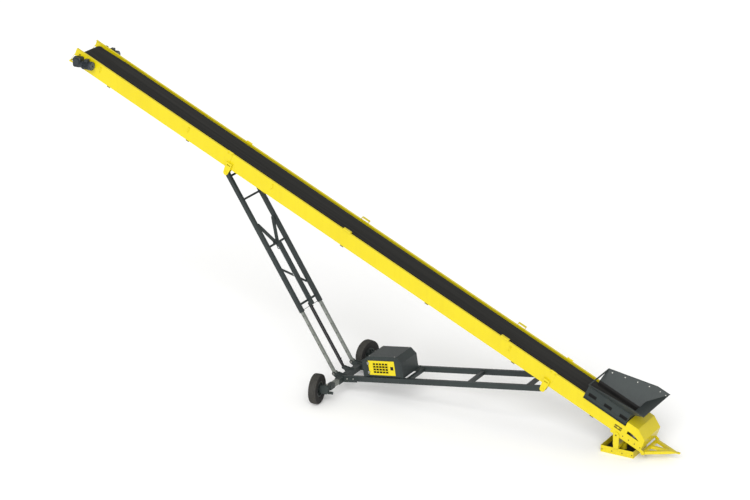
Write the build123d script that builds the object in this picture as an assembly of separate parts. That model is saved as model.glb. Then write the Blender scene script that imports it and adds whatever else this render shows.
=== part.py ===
# Radial stacker conveyor: a 20 m wheeled troughed belt conveyor that slews about its feed foot.
# Millimetres and degrees. The origin is the centre of the foot's base on the ground.
# X runs from the discharge head to the feed end and its drawbar, Y to the machine's left, Z up.
from build123d import *
import math
import os

# The boom and the places of its pins, measured along it from the foot hinge
boom_angle = 24.04
foot_hinge_height = 625
head_reach = 19100
tail_reach = 800
frame_width = 1014
arm_pin_reach = 2370
arm_pin_drop = 95
leg_pin_share = 0.698953
leg_pin_drop = 88

# The chassis: axle beam, leg feet and the line of the arms and legs
axle_reach = 8480
axle_height = 478
leg_foot_setback = 255
leg_foot_height = 570
arm_line = 505
leg_line = 495
kingpin_line = 1377
stub_reach = 300

# Clearances: running fits, seats and the one overrun of every cut
fit_gap = 0.3
turn_gap = 6
overrun = 20

# Sheet and the side channels of the boom
sheet = 6
thick_plate = 12
channel_low = 44
channel_high = 509
flange = 60
tail_joint_reach = 200
channel_tail_reach = -60
pin_eye_share = 0.5

# Belt, pulleys and rollers
belt_width = 800
belt_thick = 10
trough_flat = 300
trough_angle = 25
trough_rise = 375
head_pulley_inset = 250
tail_pulley_reach = -450
pulley_rise = 270
pulley_radius = 160
pulley_length = 890
pulley_wall = 12
pulley_disc_inset = 40
pulley_hole_radius = 34
pulley_hole_count = 4
pulley_hub_radius = 48
bearing_radius = 60
shaft_radius = 30
transition = 1000
roller_radius = 44.5
roller_gap = 14
roller_pin_radius = 8
idler_first_reach = 1650
idler_pitch = 1400
idler_bar = 50
idler_bar_rise = 165
idler_post = 46
idler_post_top = 24
return_roller_length = 860
return_bracket_width = 115
return_bracket_drop = 36
return_bracket_lip = 28
return_roller_shares = (0.044, 0.18068, 0.33393, 0.4878, 0.63298, 0.77644, 0.92853)

# Head end of the boom
head_notch_depth = 110
head_notch_high = 285
head_guard_proud = 80
head_guard_bar = 30
head_guard_wire = 7
head_tie_radius = 24

# Geared motors at the head shaft
gearbox_front = 148
gearbox_back = 118
gearbox_rise = 118
gearbox_drop = 168
gearbox_round = 62
gearbox_width = 210
gearbox_rib = 14
gearbox_boss_radius = 92
gearbox_boss_proud = 26
input_drop = 88
input_bell_radius = 92
input_bell_length = 74
motor_flange_radius = 128
motor_radius = 104
motor_length = 300
motor_fin_radius = 122
motor_fin_width = 7
motor_fin_count = 26
motor_cowl_radius = 126
motor_cowl_length = 78
motor_cowl_round = 24
terminal_box = 110
terminal_box_height = 52

# Brackets that carry the boom on the arms and the legs
strap_thick = 10
strap_width = 180
strap_bar_radius = 17
strap_bolt_radius = 15
shelf_width = 230
shelf_rise = 232
cheek_radius = 78
cheek_width = 184
pin_radius = 30
pin_head_radius = 42
pin_head = 14
arm_strap_shift = -62
leg_strap_shift = 112
slot_length = 116
slot_height = 28
slot_drop = 58

# Saddles and clips on the side channels
saddle_length = 250
saddle_rise = 72
saddle_width = 84
saddle_inset = 35
saddle_lip = 46
saddle_plate = 10
saddle_shares = (0.2064, 0.4888)
clip_shares = (0.19372, 0.62346, 0.78131, 0.9512)
clip_width = 74
clip_length = 190
clip_rise = 336
clip_rib_radius = 21
clip_rib_share = 0.62

# Tail of the boom: cheeks, hood, window and foot hinge lobes
cheek_plate = 8
tail_low = -26
lobe_radius = 78
window_reach_low = -63
window_reach_high = 166
window_low = 161
window_high = 275
adjuster_radius = 7
adjuster_block = 46
hood_front_reach = -110
hood_top = 536
hood_bend_reach = -457
hood_nose_reach = -750
hood_nose_rise = 343
hood_foot_reach = -776
hood_foot_rise = 46
hood_nose_drop = 34
cheek_back_reach = -610
cheek_back_rise = 350
hood_sheet = 4
grille_front_reach = -228
grille_back_reach = -628
grille_low = 215
grille_high = 300
grille_bow = 50

# Feed hopper
hopper_front_reach = 1280
hopper_tail_reach = -90
hopper_flange_rise = 430
hopper_flange = 46
hopper_fold_rise = 768
hopper_sheet = 6
rim_front_rise = 893
rim_bend_reach = -100
rim_bend_rise = 1150
rim_tail_reach = -500
rim_tail_rise = 1152
wing_slope_share = 0.869
rim_bar = 34
rim_lip_width = 30
hopper_window_length = 243
hopper_window_low = 523
hopper_window_high = 622
hopper_window_reaches = (1062, 560, 58)
chute_foot_rise = 560
hopper_back_rise = 556
liner_lap = 42
liner_thick = 10
liner_gap = 6

# Foot: tray, swivel yoke and kingpin
tray_length = 962
tray_width = 884
tray_height = 195
tray_plate = 10
tray_mat = 16
tray_hub_radius = 90
tray_hub_height = 150
swivel_pin_radius = 50
yoke_beam_width = 150
yoke_beam_high = 330
yoke_beam_low = 235
yoke_lug_width = 168
yoke_lug_thick = 16
yoke_lug_gap = 8
yoke_lug_radius = 84
foot_pin_radius = 22

# Drawbar
drawbar_height = 245
drawbar_tube = 80
drawbar_wall = 6
drawbar_root_reach = 775
drawbar_root_half = 430
drawbar_nose_reach = 1390
drawbar_nose_half = 48
nose_plate_root = 150
nose_plate_end_reach = 1535
hitch_plate_thick = 30
hitch_plate_width = 84
hitch_eye_reach = 1610
hitch_eye_radius = 25

# Arms of the chassis
arm_height = 150
arm_width = 100
arm_wall = 6
arm_cross_tube = 100
arm_cross_shares = (0.0802, 0.3679, 0.8742)
arm_pack_cross_gap = 35
gusset_thick = 12
gusset_end_reach = 7980
gusset_half_height = 100

# Axle beam, telescopic ends and knuckles
beam_size = 160
beam_wall = 8
beam_half_length = 820
extension_size = 130
extension_wall = 10
extension_overlap = 400
extension_hole_radius = 13
extension_hole_pitch = 100
extension_hole_count = 2
carrier_line = 1060
carrier_size = 150
carrier_neck = 110
carrier_neck_length = 92
kingpin_boss_radius = 62
kingpin_boss_height = 170
kingpin_radius = 28
fork_plate = 14
fork_width = 140
fork_back = 84
fork_side_drop = 40
fork_side_back = 176
fork_side_front = 58
tongue_length = 150
tongue_width = 70
tongue_thick = 58
tongue_hole_radius = 16
stub_radius = 45
hub_radius = 80
hub_length = 130
hub_neck_share = 0.75

# Wheels
tyre_radius = 430
tyre_width = 250
tyre_bead_radius = 200
tyre_shoulder_radius = 402
tyre_bead_share = 0.72
rim_lip = 20
tyre_groove_depth = 10
tyre_groove_width = 9
tyre_groove_shares = (-0.26, -0.09, 0.09, 0.26)
rim_well_radius = 160
rim_disc_thick = 12
rim_disc_offset = -20
rim_hole_circle = 102
rim_hole_count = 6
wheel_nut_radius = 12
wheel_nut_length = 22

# Telescopic legs
leg_outer = 110
leg_outer_wall = 8
leg_inner = 80
leg_inner_wall = 8
leg_outer_low = 1950
leg_inner_top = 3350
leg_pad_length = 60
leg_hole_radius = 19
leg_hole_first = 330
leg_hole_pitch = 300
leg_hole_count = 9
leg_cross_tube = 60
leg_cross_low = 2165
leg_cross_drops = (910, 152)
leg_hub_height = 4009
leg_hub_plate_half = 135
leg_brace_height = 4720
leg_brace_tube = 70
diagonal_right_height = 3427
diagonal_left_height = 2627
diagonal_tube = 44
link_rod_radius = 7
link_rod_height = 1985
lock_lever_length = 60
lock_lever_proud = 24
guard_low = 1990
guard_width = 128
guard_depth = 82
guard_wall = 6
barrel_radius = 49
barrel_bore = 40
barrel_foot = 130
barrel_top = 2090
barrel_pipe_radius = 9
barrel_pipe_low = 300
rod_radius = 25
rod_low = 1650
rod_eye_drop = 141
rod_eye_half = 30
ram_eye_radius = 45
ram_lug_thick = 14
ram_pin_radius = 20
port_radius = 14
port_height = 30
port_place = 260

# Power pack
pack_low = 100
pack_axle_gap = 728
pack_length = 1280
pack_side_height = 420
pack_height = 590
pack_bevel_back = 219
pack_bevel_front = 151
pack_right_face = 520
pack_left_face = 360
pack_sheet = 5
door_back = 199
door_front = 1040
door_low = 42
door_high = 463
door_gap = 6
door_columns = 5
door_rows = 4
door_pitch = 98
door_row_pitch = 79
door_slot_length = 70
door_slot_width = 48
door_slot_slant = 24
door_slot_shift = 34
door_hinge_radius = 11
door_hinge_length = 74
door_hinge_heights = (120, 385)
door_hinge_strap = 5
latch_radius = 27
latch_inset = 92
latch_proud = 18
engine_length = 760
engine_width = 430
engine_height = 400

# Places that follow from the sizes above
leg_foot_reach = axle_reach + leg_foot_setback
leg_pin_reach = leg_pin_share * head_reach
rod_eye_height = leg_hub_height - rod_eye_drop
head_pulley_reach = head_reach - head_pulley_inset
head_guard_reach = head_reach + head_guard_proud
idler_count = int((head_pulley_reach - transition - idler_first_reach) / idler_pitch) + 1
return_roller_reaches = [share * head_reach for share in return_roller_shares]
saddle_reaches = [share * head_reach for share in saddle_shares]
clip_reaches = [share * head_reach for share in clip_shares]

os.makedirs("parts", exist_ok=True)


def block(x_low, x_high, y_low, y_high, z_low, z_high):
    """A square bar between two corners."""
    size = Box(x_high - x_low, y_high - y_low, z_high - z_low, align=(Align.MIN,) * 3)
    return Pos(x_low, y_low, z_low) * size


def plate(points, y_low, y_high):
    """A plate with its outline in X and Z, between two places across the machine."""
    outline = Polyline(*[(x, y_low, z) for x, z in points], close=True)
    return extrude(make_face(outline), y_high - y_low, dir=(0, 1, 0))


def round_bar(start, end, radius):
    """A round bar between two points."""
    axis = Vector(*end) - Vector(*start)
    return extrude(Plane(origin=start, z_dir=axis) * Circle(radius), axis.length)


def cross_bar(x, z, radius, y_low, y_high):
    """A round bar that lies across the machine."""
    return round_bar((x, y_low, z), (x, y_high, z), radius)


def square_tube(start, end, size, wall, across=(0, 1, 0)):
    """A square tube between two points, one side square to the direction across."""
    axis = Vector(*end) - Vector(*start)
    plane = Plane(origin=start, x_dir=Vector(*across), z_dir=axis)
    bore = size - 2 * wall
    return extrude(plane * (Rectangle(size, size) - Rectangle(bore, bore)), axis.length)


def both_sides(shape):
    """The right-hand piece and its left-hand mirror image."""
    return {"right": shape, "left": mirror(shape, about=Plane.XZ)}


def save(name, *shapes):
    """Write one named piece, which may hold several like solids."""
    solids = [solid for shape in shapes for solid in shape.solids()]
    export_step(solids[0] if len(solids) == 1 else Compound(children=solids), "parts/" + name + ".step")


def on_boom(reach, rise):
    """World X and Z of a point a reach up the boom and a rise above its hinge line."""
    lean = math.radians(boom_angle)
    x = -reach * math.cos(lean) + rise * math.sin(lean)
    z = foot_hinge_height + reach * math.sin(lean) + rise * math.cos(lean)
    return x, z


# Frames: boom pieces lie flat with their head towards -X, leg pieces stand on their foot pin,
# arm pieces run back from the boom pin towards -X, and each frame puts them in place
frame_half = frame_width / 2
boom_frame = Pos(0, 0, foot_hinge_height) * Rot(0, boom_angle, 0)
arm_pin_x, arm_pin_z = on_boom(arm_pin_reach, -arm_pin_drop)
leg_pin_x, leg_pin_z = on_boom(leg_pin_reach, -leg_pin_drop)
leg_run = -leg_foot_reach - leg_pin_x
leg_climb = leg_pin_z - leg_foot_height
leg_length = math.hypot(leg_run, leg_climb)
leg_lean = math.degrees(math.atan2(leg_run, leg_climb))
leg_frame = Pos(-leg_foot_reach, 0, leg_foot_height) * Rot(0, -leg_lean, 0)
arm_run = arm_pin_x + axle_reach
arm_climb = arm_pin_z - axle_height
arm_length = math.hypot(arm_run, arm_climb)
arm_slope = math.degrees(math.atan2(arm_climb, arm_run))
arm_frame = Pos(arm_pin_x, 0, arm_pin_z) * Rot(0, -arm_slope, 0)
pack_x = pack_axle_gap - arm_length
pack_cross_station = -pack_x - pack_length - arm_pack_cross_gap - arm_cross_tube / 2
arm_cross_stations = [share * arm_length for share in arm_cross_shares] + [pack_cross_station]


# Side channels of the boom: folded sheet with both flanges turned in
def side_channel():
    inner = -frame_half + sheet
    back = -channel_tail_reach
    web = block(-head_reach, back, -frame_half, inner, channel_low, channel_high)
    top = block(-head_reach, back, inner, -frame_half + flange, channel_high - sheet, channel_high)
    foot = block(-head_reach, back, inner, -frame_half + flange, channel_low, channel_low + sheet)
    notch = block(-head_reach - overrun, -head_reach + head_notch_depth, -frame_half - overrun,
                  -frame_half + flange + overrun, channel_low - overrun, head_notch_high)
    bearing_hole = cross_bar(-head_pulley_reach, pulley_rise, bearing_radius + fit_gap,
                             -frame_half - overrun, inner + overrun)
    return web + top + foot - notch - bearing_hole


for side, shape in both_sides(side_channel()).items():
    save("side_channel_" + side, boom_frame * shape)


# Belt: a trough on the carrying side, flat over the pulleys and on its way back
belt_half = belt_width / 2
wing = (belt_width - trough_flat) / 2
wing_run = wing * math.cos(math.radians(trough_angle))
wing_rise = wing * math.sin(math.radians(trough_angle))
belt_radius = pulley_radius + fit_gap


def belt_section(x, trough):
    """Outline of the carrying run across the boom, troughed or flat."""
    half = trough_flat / 2
    if trough:
        low = [(-half - wing_run, trough_rise + wing_rise), (-half, trough_rise), (half, trough_rise),
               (half + wing_run, trough_rise + wing_rise)]
    else:
        flat = pulley_rise + belt_radius
        low = [(-belt_half, flat), (-half, flat), (half, flat), (belt_half, flat)]
    corners = low + [(y, z + belt_thick) for y, z in reversed(low)]
    return Polyline(*[(x, y, z) for y, z in corners], close=True)


def belt():
    head_end = -head_pulley_reach
    tail_end = -tail_pulley_reach
    trough_head = head_end + transition
    trough_tail = tail_end - transition
    carry = extrude(make_face(belt_section(trough_head, True)), trough_tail - trough_head, dir=(1, 0, 0))
    head_wires = [Wire(belt_section(head_end, False)), Wire(belt_section(trough_head, True))]
    tail_wires = [Wire(belt_section(trough_tail, True)), Wire(belt_section(tail_end, False))]
    rise_head = Solid.make_loft(head_wires, ruled=True)
    rise_tail = Solid.make_loft(tail_wires, ruled=True)
    low = pulley_rise - belt_radius
    back_run = block(head_end, tail_end, -belt_half, belt_half, low - belt_thick, low)
    loop = carry + rise_head + rise_tail + back_run
    for end, outward in ((head_end, -1), (tail_end, 1)):
        ring = cross_bar(end, pulley_rise, belt_radius + belt_thick, -belt_half, belt_half)
        ring -= cross_bar(end, pulley_rise, belt_radius, -belt_half - overrun, belt_half + overrun)
        reach = outward * (belt_radius + belt_thick + overrun)
        keep = block(min(end, end + reach), max(end, end + reach), -belt_half, belt_half,
                     low - belt_thick - overrun, pulley_rise + belt_radius + belt_thick + overrun)
        loop += ring & keep
    return loop


save("belt", boom_frame * belt())


# Pulleys: welded drums with recessed end discs on a through shaft
def pulley(reach, shaft_half):
    half = pulley_length / 2
    bore = pulley_radius - pulley_wall
    drum = cross_bar(-reach, pulley_rise, pulley_radius, -half, half)
    drum -= cross_bar(-reach, pulley_rise, bore, -half - overrun, half + overrun)
    disc_outer = half - pulley_disc_inset
    for low in (-disc_outer, disc_outer - pulley_wall):
        disc = cross_bar(-reach, pulley_rise, bore, low, low + pulley_wall)
        for step in range(pulley_hole_count):
            turn = 2 * math.pi * step / pulley_hole_count
            circle = (bore + pulley_hub_radius) / 2
            disc -= cross_bar(-reach + circle * math.cos(turn), pulley_rise + circle * math.sin(turn),
                              pulley_hole_radius, low - overrun, low + pulley_wall + overrun)
        hub_high = low + 2 * pulley_wall
        drum += disc + cross_bar(-reach, pulley_rise, pulley_hub_radius, low - pulley_wall, hub_high)
    return drum + cross_bar(-reach, pulley_rise, shaft_radius, -shaft_half, shaft_half)


def bearing(reach, inner, outer):
    """Round bearing housing on the right, between two places across the machine."""
    housing = cross_bar(-reach, pulley_rise, bearing_radius, inner, outer)
    return housing - cross_bar(-reach, pulley_rise, shaft_radius + fit_gap, inner - overrun, outer + overrun)


gearbox_inner = frame_half + thick_plate
web_face = -frame_half + sheet
tail_face = -frame_half - cheek_plate
save("head_pulley", boom_frame * pulley(head_pulley_reach, gearbox_inner + gearbox_width / 2))
save("tail_pulley", boom_frame * pulley(tail_pulley_reach, frame_half + cheek_plate))
head_bearing = bearing(head_pulley_reach, -gearbox_inner + fit_gap, web_face + thick_plate)
tail_bearing = bearing(tail_pulley_reach, tail_face, -frame_half + thick_plate)
bearings = [boom_frame * shape for housing in (head_bearing, tail_bearing)
            for shape in both_sides(housing).values()]


# Troughing idlers: a base bar, posts and three rollers at each station
idler_reaches = [idler_first_reach + idler_pitch * step for step in range(idler_count)]
roller_axis_rise = trough_rise - fit_gap - roller_radius
post_places = (trough_flat / 2 + roller_gap / 2, trough_flat / 2 + wing_run + idler_post)


def idler_frame(reach):
    inner = frame_half - sheet
    half_bar = idler_bar / 2
    frame = block(-reach - half_bar, -reach + half_bar, -inner, inner, idler_bar_rise,
                  idler_bar_rise + idler_bar)
    low_top = roller_axis_rise + idler_post_top
    for place, top in zip(post_places, (low_top, low_top + wing_rise)):
        for way in (-1, 1):
            middle = way * place
            frame += block(-reach - half_bar, -reach + half_bar, middle - sheet / 2, middle + sheet / 2,
                           idler_bar_rise + idler_bar, top)
    return frame


def idler_rollers(reach):
    half = trough_flat / 2
    pin_end = post_places[0] - sheet / 2 - fit_gap
    rollers = [cross_bar(-reach, roller_axis_rise, roller_radius, -half, half)
               + cross_bar(-reach, roller_axis_rise, roller_pin_radius, -pin_end, pin_end)]
    lean = math.radians(trough_angle)
    pin_room = sheet / 2 + fit_gap + roller_pin_radius * math.sin(lean)
    for way in (-1, 1):
        start_y = half + roller_gap + roller_radius * math.sin(lean)
        start = (-reach, way * start_y, roller_axis_rise + roller_gap * math.sin(lean))
        run = wing - roller_gap
        end = (-reach, way * (start_y + run * math.cos(lean)),
               roller_axis_rise + (roller_gap + run) * math.sin(lean))
        pin_ends = []
        for place in (post_places[0] + pin_room, post_places[1] - pin_room):
            pin_ends.append((-reach, way * place, start[2] + (place - start_y) * math.tan(lean)))
        rollers.append(round_bar(start, end, roller_radius) + round_bar(*pin_ends, roller_pin_radius))
    return rollers


frames = [boom_frame * idler_frame(reach) for reach in idler_reaches]
rollers = [boom_frame * shape for reach in idler_reaches for shape in idler_rollers(reach)]
save("trough_idler_frames", *frames)
save("trough_rollers", *rollers)


# Return rollers: they hang in brackets under the lower flanges
return_axis_rise = pulley_rise - belt_radius - belt_thick - fit_gap - roller_radius


def return_bracket(reach):
    inner = -frame_half + sheet
    half = return_bracket_width / 2
    drop = return_axis_rise - return_bracket_drop
    lip = -frame_half + flange
    leaf = block(-reach - half, -reach + half, lip, lip + sheet, drop, return_axis_rise + half)
    foot = block(-reach - half, -reach + half, -frame_half, lip, channel_low - sheet, channel_low)
    drip = block(-reach - half, -reach + half, -frame_half, inner, channel_low - return_bracket_lip,
                 channel_low)
    return leaf + foot + drip


def return_roller(reach):
    half = return_roller_length / 2
    body = cross_bar(-reach, return_axis_rise, roller_radius, -half, half)
    pin_end = frame_half - flange - sheet - fit_gap
    return body + cross_bar(-reach, return_axis_rise, roller_pin_radius, -pin_end, pin_end)


brackets = [boom_frame * shape for reach in return_roller_reaches
            for shape in both_sides(return_bracket(reach)).values()]
save("return_roller_brackets", *brackets)
save("return_rollers", *[boom_frame * return_roller(reach) for reach in return_roller_reaches])


# Head guard: a wire from each side plate's nose down to an ear, and the scraper tie between the ears
def head_guard():
    half = frame_half - thick_plate / 2
    guard = cross_bar(-head_guard_reach, head_guard_bar, head_tie_radius, -half, half)
    for way in (-1, 1):
        low, high = sorted((way * frame_half, way * (frame_half - thick_plate)))
        wire_top = (-head_reach - head_guard_wire, way * half, head_notch_high + head_guard_bar)
        wire_foot = (-head_guard_reach, way * half, head_guard_bar)
        guard += round_bar(wire_top, wire_foot, head_guard_wire)
        root = -head_reach + head_notch_depth
        ear = [(root, channel_low), (root, channel_low + head_guard_bar),
               (-head_guard_reach, head_guard_bar + head_tie_radius),
               (-head_guard_reach, head_guard_bar - head_tie_radius)]
        guard += plate(ear, low, high)
        guard += cross_bar(-head_guard_reach, head_guard_bar, head_tie_radius, low, high)
    return guard


save("head_guard", boom_frame * head_guard())


# Geared motors: right-angle gearboxes on the head shaft, their motors level at the working angle
head_x, head_z = on_boom(head_pulley_reach, pulley_rise)


def gearbox(inner, outer):
    """Cast case round the shaft with a rib down each side, a shaft boss and the bell to the motor."""
    back = head_x + gearbox_back
    case = block(head_x - gearbox_front, back, outer, inner, head_z - gearbox_drop, head_z + gearbox_rise)
    case = fillet(case.edges().filter_by(Axis.Y), gearbox_round)
    rib = block(head_x - gearbox_front - gearbox_rib, back, (inner + outer) / 2 - gearbox_rib / 2,
                (inner + outer) / 2 + gearbox_rib / 2, head_z - gearbox_drop - gearbox_rib,
                head_z + gearbox_rise + gearbox_rib)
    case += fillet(rib.edges().filter_by(Axis.Y), gearbox_round)
    case = chamfer(case.faces().filter_by(Axis.Y).sort_by(Axis.Y)[0].outer_wire().edges(), gearbox_rib)
    case += cross_bar(head_x, head_z, gearbox_boss_radius, outer - gearbox_boss_proud, inner)
    return case


def geared_motor():
    inner = -gearbox_inner - fit_gap
    outer = inner - gearbox_width
    middle = inner - motor_flange_radius
    axis_z = head_z - input_drop
    bell_start = head_x + gearbox_back
    start = bell_start + input_bell_length
    end = start + motor_length

    def along(low, high, radius):
        return round_bar((low, middle, axis_z), (high, middle, axis_z), radius)

    drive = gearbox(inner, outer) + along(head_x, start, input_bell_radius)
    drive += along(start - gearbox_rib, start + gearbox_rib, motor_flange_radius)
    section = Circle(motor_radius)
    for step in range(motor_fin_count):
        section += Rot(0, 0, 180 * step / motor_fin_count) * Rectangle(2 * motor_fin_radius, motor_fin_width)
    cowl_start = end - motor_cowl_length
    drive += extrude(Plane(origin=(start, middle, axis_z), z_dir=(1, 0, 0)) * section, cowl_start - start)
    cowl = along(cowl_start, end, motor_cowl_radius)
    drive += fillet(cowl.edges().filter_by(GeomType.CIRCLE).group_by(Axis.X)[-1], motor_cowl_round)
    box_half = terminal_box / 2
    box_x = start + terminal_box
    drive += block(box_x - box_half, box_x + box_half, middle - box_half, middle + box_half,
                   axis_z, axis_z + motor_fin_radius + terminal_box_height)
    bore_end = (inner + outer) / 2
    return drive - cross_bar(head_x, head_z, shaft_radius + fit_gap, bore_end, inner + overrun)


for side, shape in both_sides(geared_motor()).items():
    save("head_gearmotor_" + side, shape)


# Pin brackets: a strap clamped over the channel's top, a box below it and two cheeks round the pin
def pin_bracket(reach, drop, line, member_width, strap_shift):
    """Outer and inner halves of the bracket on the right-hand channel, round a member on its line."""
    outer_gap = line + member_width / 2 + turn_gap
    inner_gap = line - member_width / 2 - turn_gap
    pin_z = -drop
    half = cheek_width / 2
    web = -frame_half
    x = -reach
    outer_face = -outer_gap - thick_plate
    strap_low = x - strap_shift - strap_width / 2
    strap_high = x - strap_shift + strap_width / 2
    strap = block(strap_low, strap_high, web - strap_thick, web, shelf_rise - thick_plate,
                  channel_high + strap_thick)
    hook = block(strap_low, strap_high, web - strap_thick, web + flange, channel_high,
                 channel_high + strap_thick)
    bar_z = channel_high + strap_thick + strap_bar_radius / 2
    hook += round_bar((strap_low, web, bar_z), (strap_high, web, bar_z), strap_bar_radius)
    for place in (strap_low + 2 * strap_bolt_radius, strap_high - 2 * strap_bolt_radius):
        bolt_z = channel_high - 2 * strap_bolt_radius
        hook += cross_bar(place, bolt_z, strap_bolt_radius, web - 2 * strap_thick, web)
    cheek = plate([(x - cheek_radius, pin_z), (x - half, channel_low), (x - half, shelf_rise),
                   (x + half, shelf_rise), (x + half, channel_low), (x + cheek_radius, pin_z)],
                  outer_face, -outer_gap)
    cheek += cross_bar(x, pin_z, cheek_radius, outer_face, -outer_gap)
    cheek -= block(x - slot_length / 2, x + slot_length / 2, outer_face - overrun, -outer_gap + overrun,
                   shelf_rise - slot_drop - slot_height, shelf_rise - slot_drop)
    shelf_half = shelf_width / 2
    corners = [(x - half, outer_face), (x + half, outer_face), (x + half, -outer_gap),
               (x + shelf_half, web), (x - shelf_half, web), (x - half, -outer_gap)]
    shelf_face = make_face(Polyline(*[(a, b, shelf_rise - thick_plate) for a, b in corners], close=True))
    shelf = extrude(shelf_face, thick_plate, dir=(0, 0, 1))
    for edge in (x - half, x + half - thick_plate):
        shelf += block(edge, edge + thick_plate, -outer_gap, web, channel_low, shelf_rise)
    pin_head_piece = cross_bar(x, pin_z, pin_head_radius, outer_face - pin_head, outer_face)
    inner_face = -inner_gap + thick_plate
    inner = plate([(x - cheek_radius, pin_z), (x - half, channel_low), (x + half, channel_low),
                   (x + cheek_radius, pin_z)], -inner_gap, inner_face)
    inner += cross_bar(x, pin_z, cheek_radius, -inner_gap, inner_face)
    foot = block(x - half, x + half, web - thick_plate, inner_face, channel_low - thick_plate, channel_low)
    return strap + hook + cheek + shelf + pin_head_piece, inner + foot


def through_pin(reach, drop, line, member_width):
    """The pin between both cheeks of a bracket."""
    reach_out = member_width / 2 + turn_gap
    return cross_bar(-reach, -drop, pin_radius, -line - reach_out, -line + reach_out)


arm_halves = pin_bracket(arm_pin_reach, arm_pin_drop, arm_line, arm_width, arm_strap_shift)
arm_pin = through_pin(arm_pin_reach, arm_pin_drop, arm_line, arm_width)
arm_bracket = arm_halves[0] + arm_halves[1] + arm_pin
leg_bracket = pin_bracket(leg_pin_reach, leg_pin_drop, leg_line, leg_outer, leg_strap_shift)
for side in ("right", "left"):
    save("arm_bracket_" + side, boom_frame * both_sides(arm_bracket)[side])
    save("leg_bracket_" + side, *[boom_frame * both_sides(piece)[side] for piece in leg_bracket])


# Lifting saddles: short channels that bridge the top flanges on two gussets
def saddle(reach):
    low = -reach - saddle_length / 2
    high = -reach + saddle_length / 2
    inner = -frame_half + saddle_inset
    outer = inner - saddle_width
    top = channel_high + saddle_rise
    shape = block(low, high, outer, inner, top - saddle_plate, top)
    shape += block(low, high, outer, outer + saddle_plate, top - saddle_lip, top)
    for edge in (low, high - saddle_plate):
        shape += block(edge, edge + saddle_plate, -frame_half, inner, channel_high, top)
        shape += block(edge, edge + saddle_plate, outer, -frame_half, top - saddle_lip, top)
    return shape


# Side clips: plates on the webs with a round rib down the middle
def clip(reach):
    half = clip_width / 2
    low = clip_rise - clip_length / 2 + half
    high = clip_rise + clip_length / 2
    face = -frame_half
    tab = block(-reach - half, -reach + half, face - sheet, face, low, high)
    tab += cross_bar(-reach, low, half, face - sheet, face)
    rib_low = high - clip_length * clip_rib_share
    rib = round_bar((-reach, face - sheet, rib_low), (-reach, face - sheet, high), clip_rib_radius)
    rib += Pos(-reach, face - sheet, rib_low) * Sphere(clip_rib_radius)
    keep = block(-reach - half, -reach + half, face - clip_rib_radius - sheet - overrun, face,
                 low - half, high)
    return tab + (rib & keep)


saddles = [boom_frame * shape for reach in saddle_reaches for shape in both_sides(saddle(reach)).values()]
clips = [boom_frame * shape for reach in clip_reaches for shape in both_sides(clip(reach)).values()]
save("lifting_saddles", *saddles)
save("side_clips", *clips)


# Tail cheeks: thick plates outside the channels that hold the foot hinge and the tail pulley
def grille_shape(y_low, y_high):
    """The bowed opening: straight below, an arc above, low at its back end."""
    front = (-grille_front_reach, grille_low)
    back = (-grille_back_reach, grille_low)
    top = (-grille_front_reach, grille_high)
    crown = ((-grille_front_reach - grille_back_reach) / 2, grille_high - grille_bow / 4)
    ends = [(x, y_low, z) for x, z in (front, back, top, crown)]
    outline = [Line(ends[0], ends[1]), ThreePointArc(ends[1], ends[3], ends[2]), Line(ends[2], ends[0])]
    return extrude(make_face(Wire(outline)), y_high - y_low, dir=(0, 1, 0))


def tail_cheek():
    outer = -frame_half - cheek_plate
    outline = [(-tail_joint_reach, tail_low), (-tail_joint_reach, window_high + slot_height),
               (-tail_joint_reach + hopper_flange, hopper_flange_rise - hopper_flange),
               (-hood_front_reach, hopper_flange_rise - hopper_flange), (-hood_front_reach, hood_foot_rise),
               (-hood_foot_reach, hood_foot_rise), (tail_reach, tail_low)]
    cheek = plate(outline, outer, -frame_half)
    front = -hood_front_reach - sheet
    behind = [(front, tail_low + cheek_plate), (front, cheek_back_rise),
              (-cheek_back_reach, cheek_back_rise), (-hood_nose_reach - hood_nose_drop, pulley_rise),
              (-hood_foot_reach - hood_nose_drop, tail_low + cheek_plate)]
    cheek += plate(behind, outer, -frame_half)
    cheek += cross_bar(0, 0, lobe_radius, outer, -frame_half)
    cheek -= cross_bar(0, 0, foot_pin_radius + fit_gap, outer - overrun, -frame_half + overrun)
    cheek -= cross_bar(-tail_pulley_reach, pulley_rise, bearing_radius + fit_gap,
                       outer - overrun, -frame_half + overrun)
    cheek -= grille_shape(outer - overrun, -frame_half + overrun)
    cheek -= block(-window_reach_high, -window_reach_low, outer - overrun, -frame_half + overrun,
                   window_low, window_high)
    middle_z = (window_low + window_high) / 2
    ends = (-window_reach_high - adjuster_radius, -window_reach_low + adjuster_radius)
    cheek += round_bar((ends[0], outer, middle_z), (ends[1], outer, middle_z), adjuster_radius)
    middle_x = (ends[0] + ends[1]) / 2
    half = adjuster_block / 2
    return cheek + block(middle_x - half, middle_x + half, outer - adjuster_radius, -frame_half,
                         middle_z - half, middle_z + half)


for side, shape in both_sides(tail_cheek()).items():
    save("tail_cheek_" + side, boom_frame * shape)


# Hood over the tail pulley: folded sheet with a bowed grille in each side
def hood_outline(inset):
    return [(-hood_front_reach, hood_foot_rise), (-hood_front_reach, hood_top - inset),
            (-hood_bend_reach - inset / 2, hood_top - inset), (-hood_nose_reach - inset, hood_nose_rise),
            (-hood_foot_reach - inset, hood_foot_rise)]


hood_outer = frame_half + cheek_plate + hood_sheet


def hood():
    shell = plate(hood_outline(0), -hood_outer, hood_outer)
    cavity = hood_outline(hood_sheet)
    cavity[0] = (cavity[0][0] - overrun, cavity[0][1] - overrun)
    cavity[1] = (cavity[1][0] - overrun, cavity[1][1])
    cavity[-1] = (cavity[-1][0], cavity[-1][1] - overrun)
    shell -= plate(cavity, -hood_outer + hood_sheet, hood_outer - hood_sheet)
    opening = grille_shape(-hood_outer - overrun, hood_outer + overrun)
    return shell - opening


save("tail_hood", boom_frame * hood())


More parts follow.
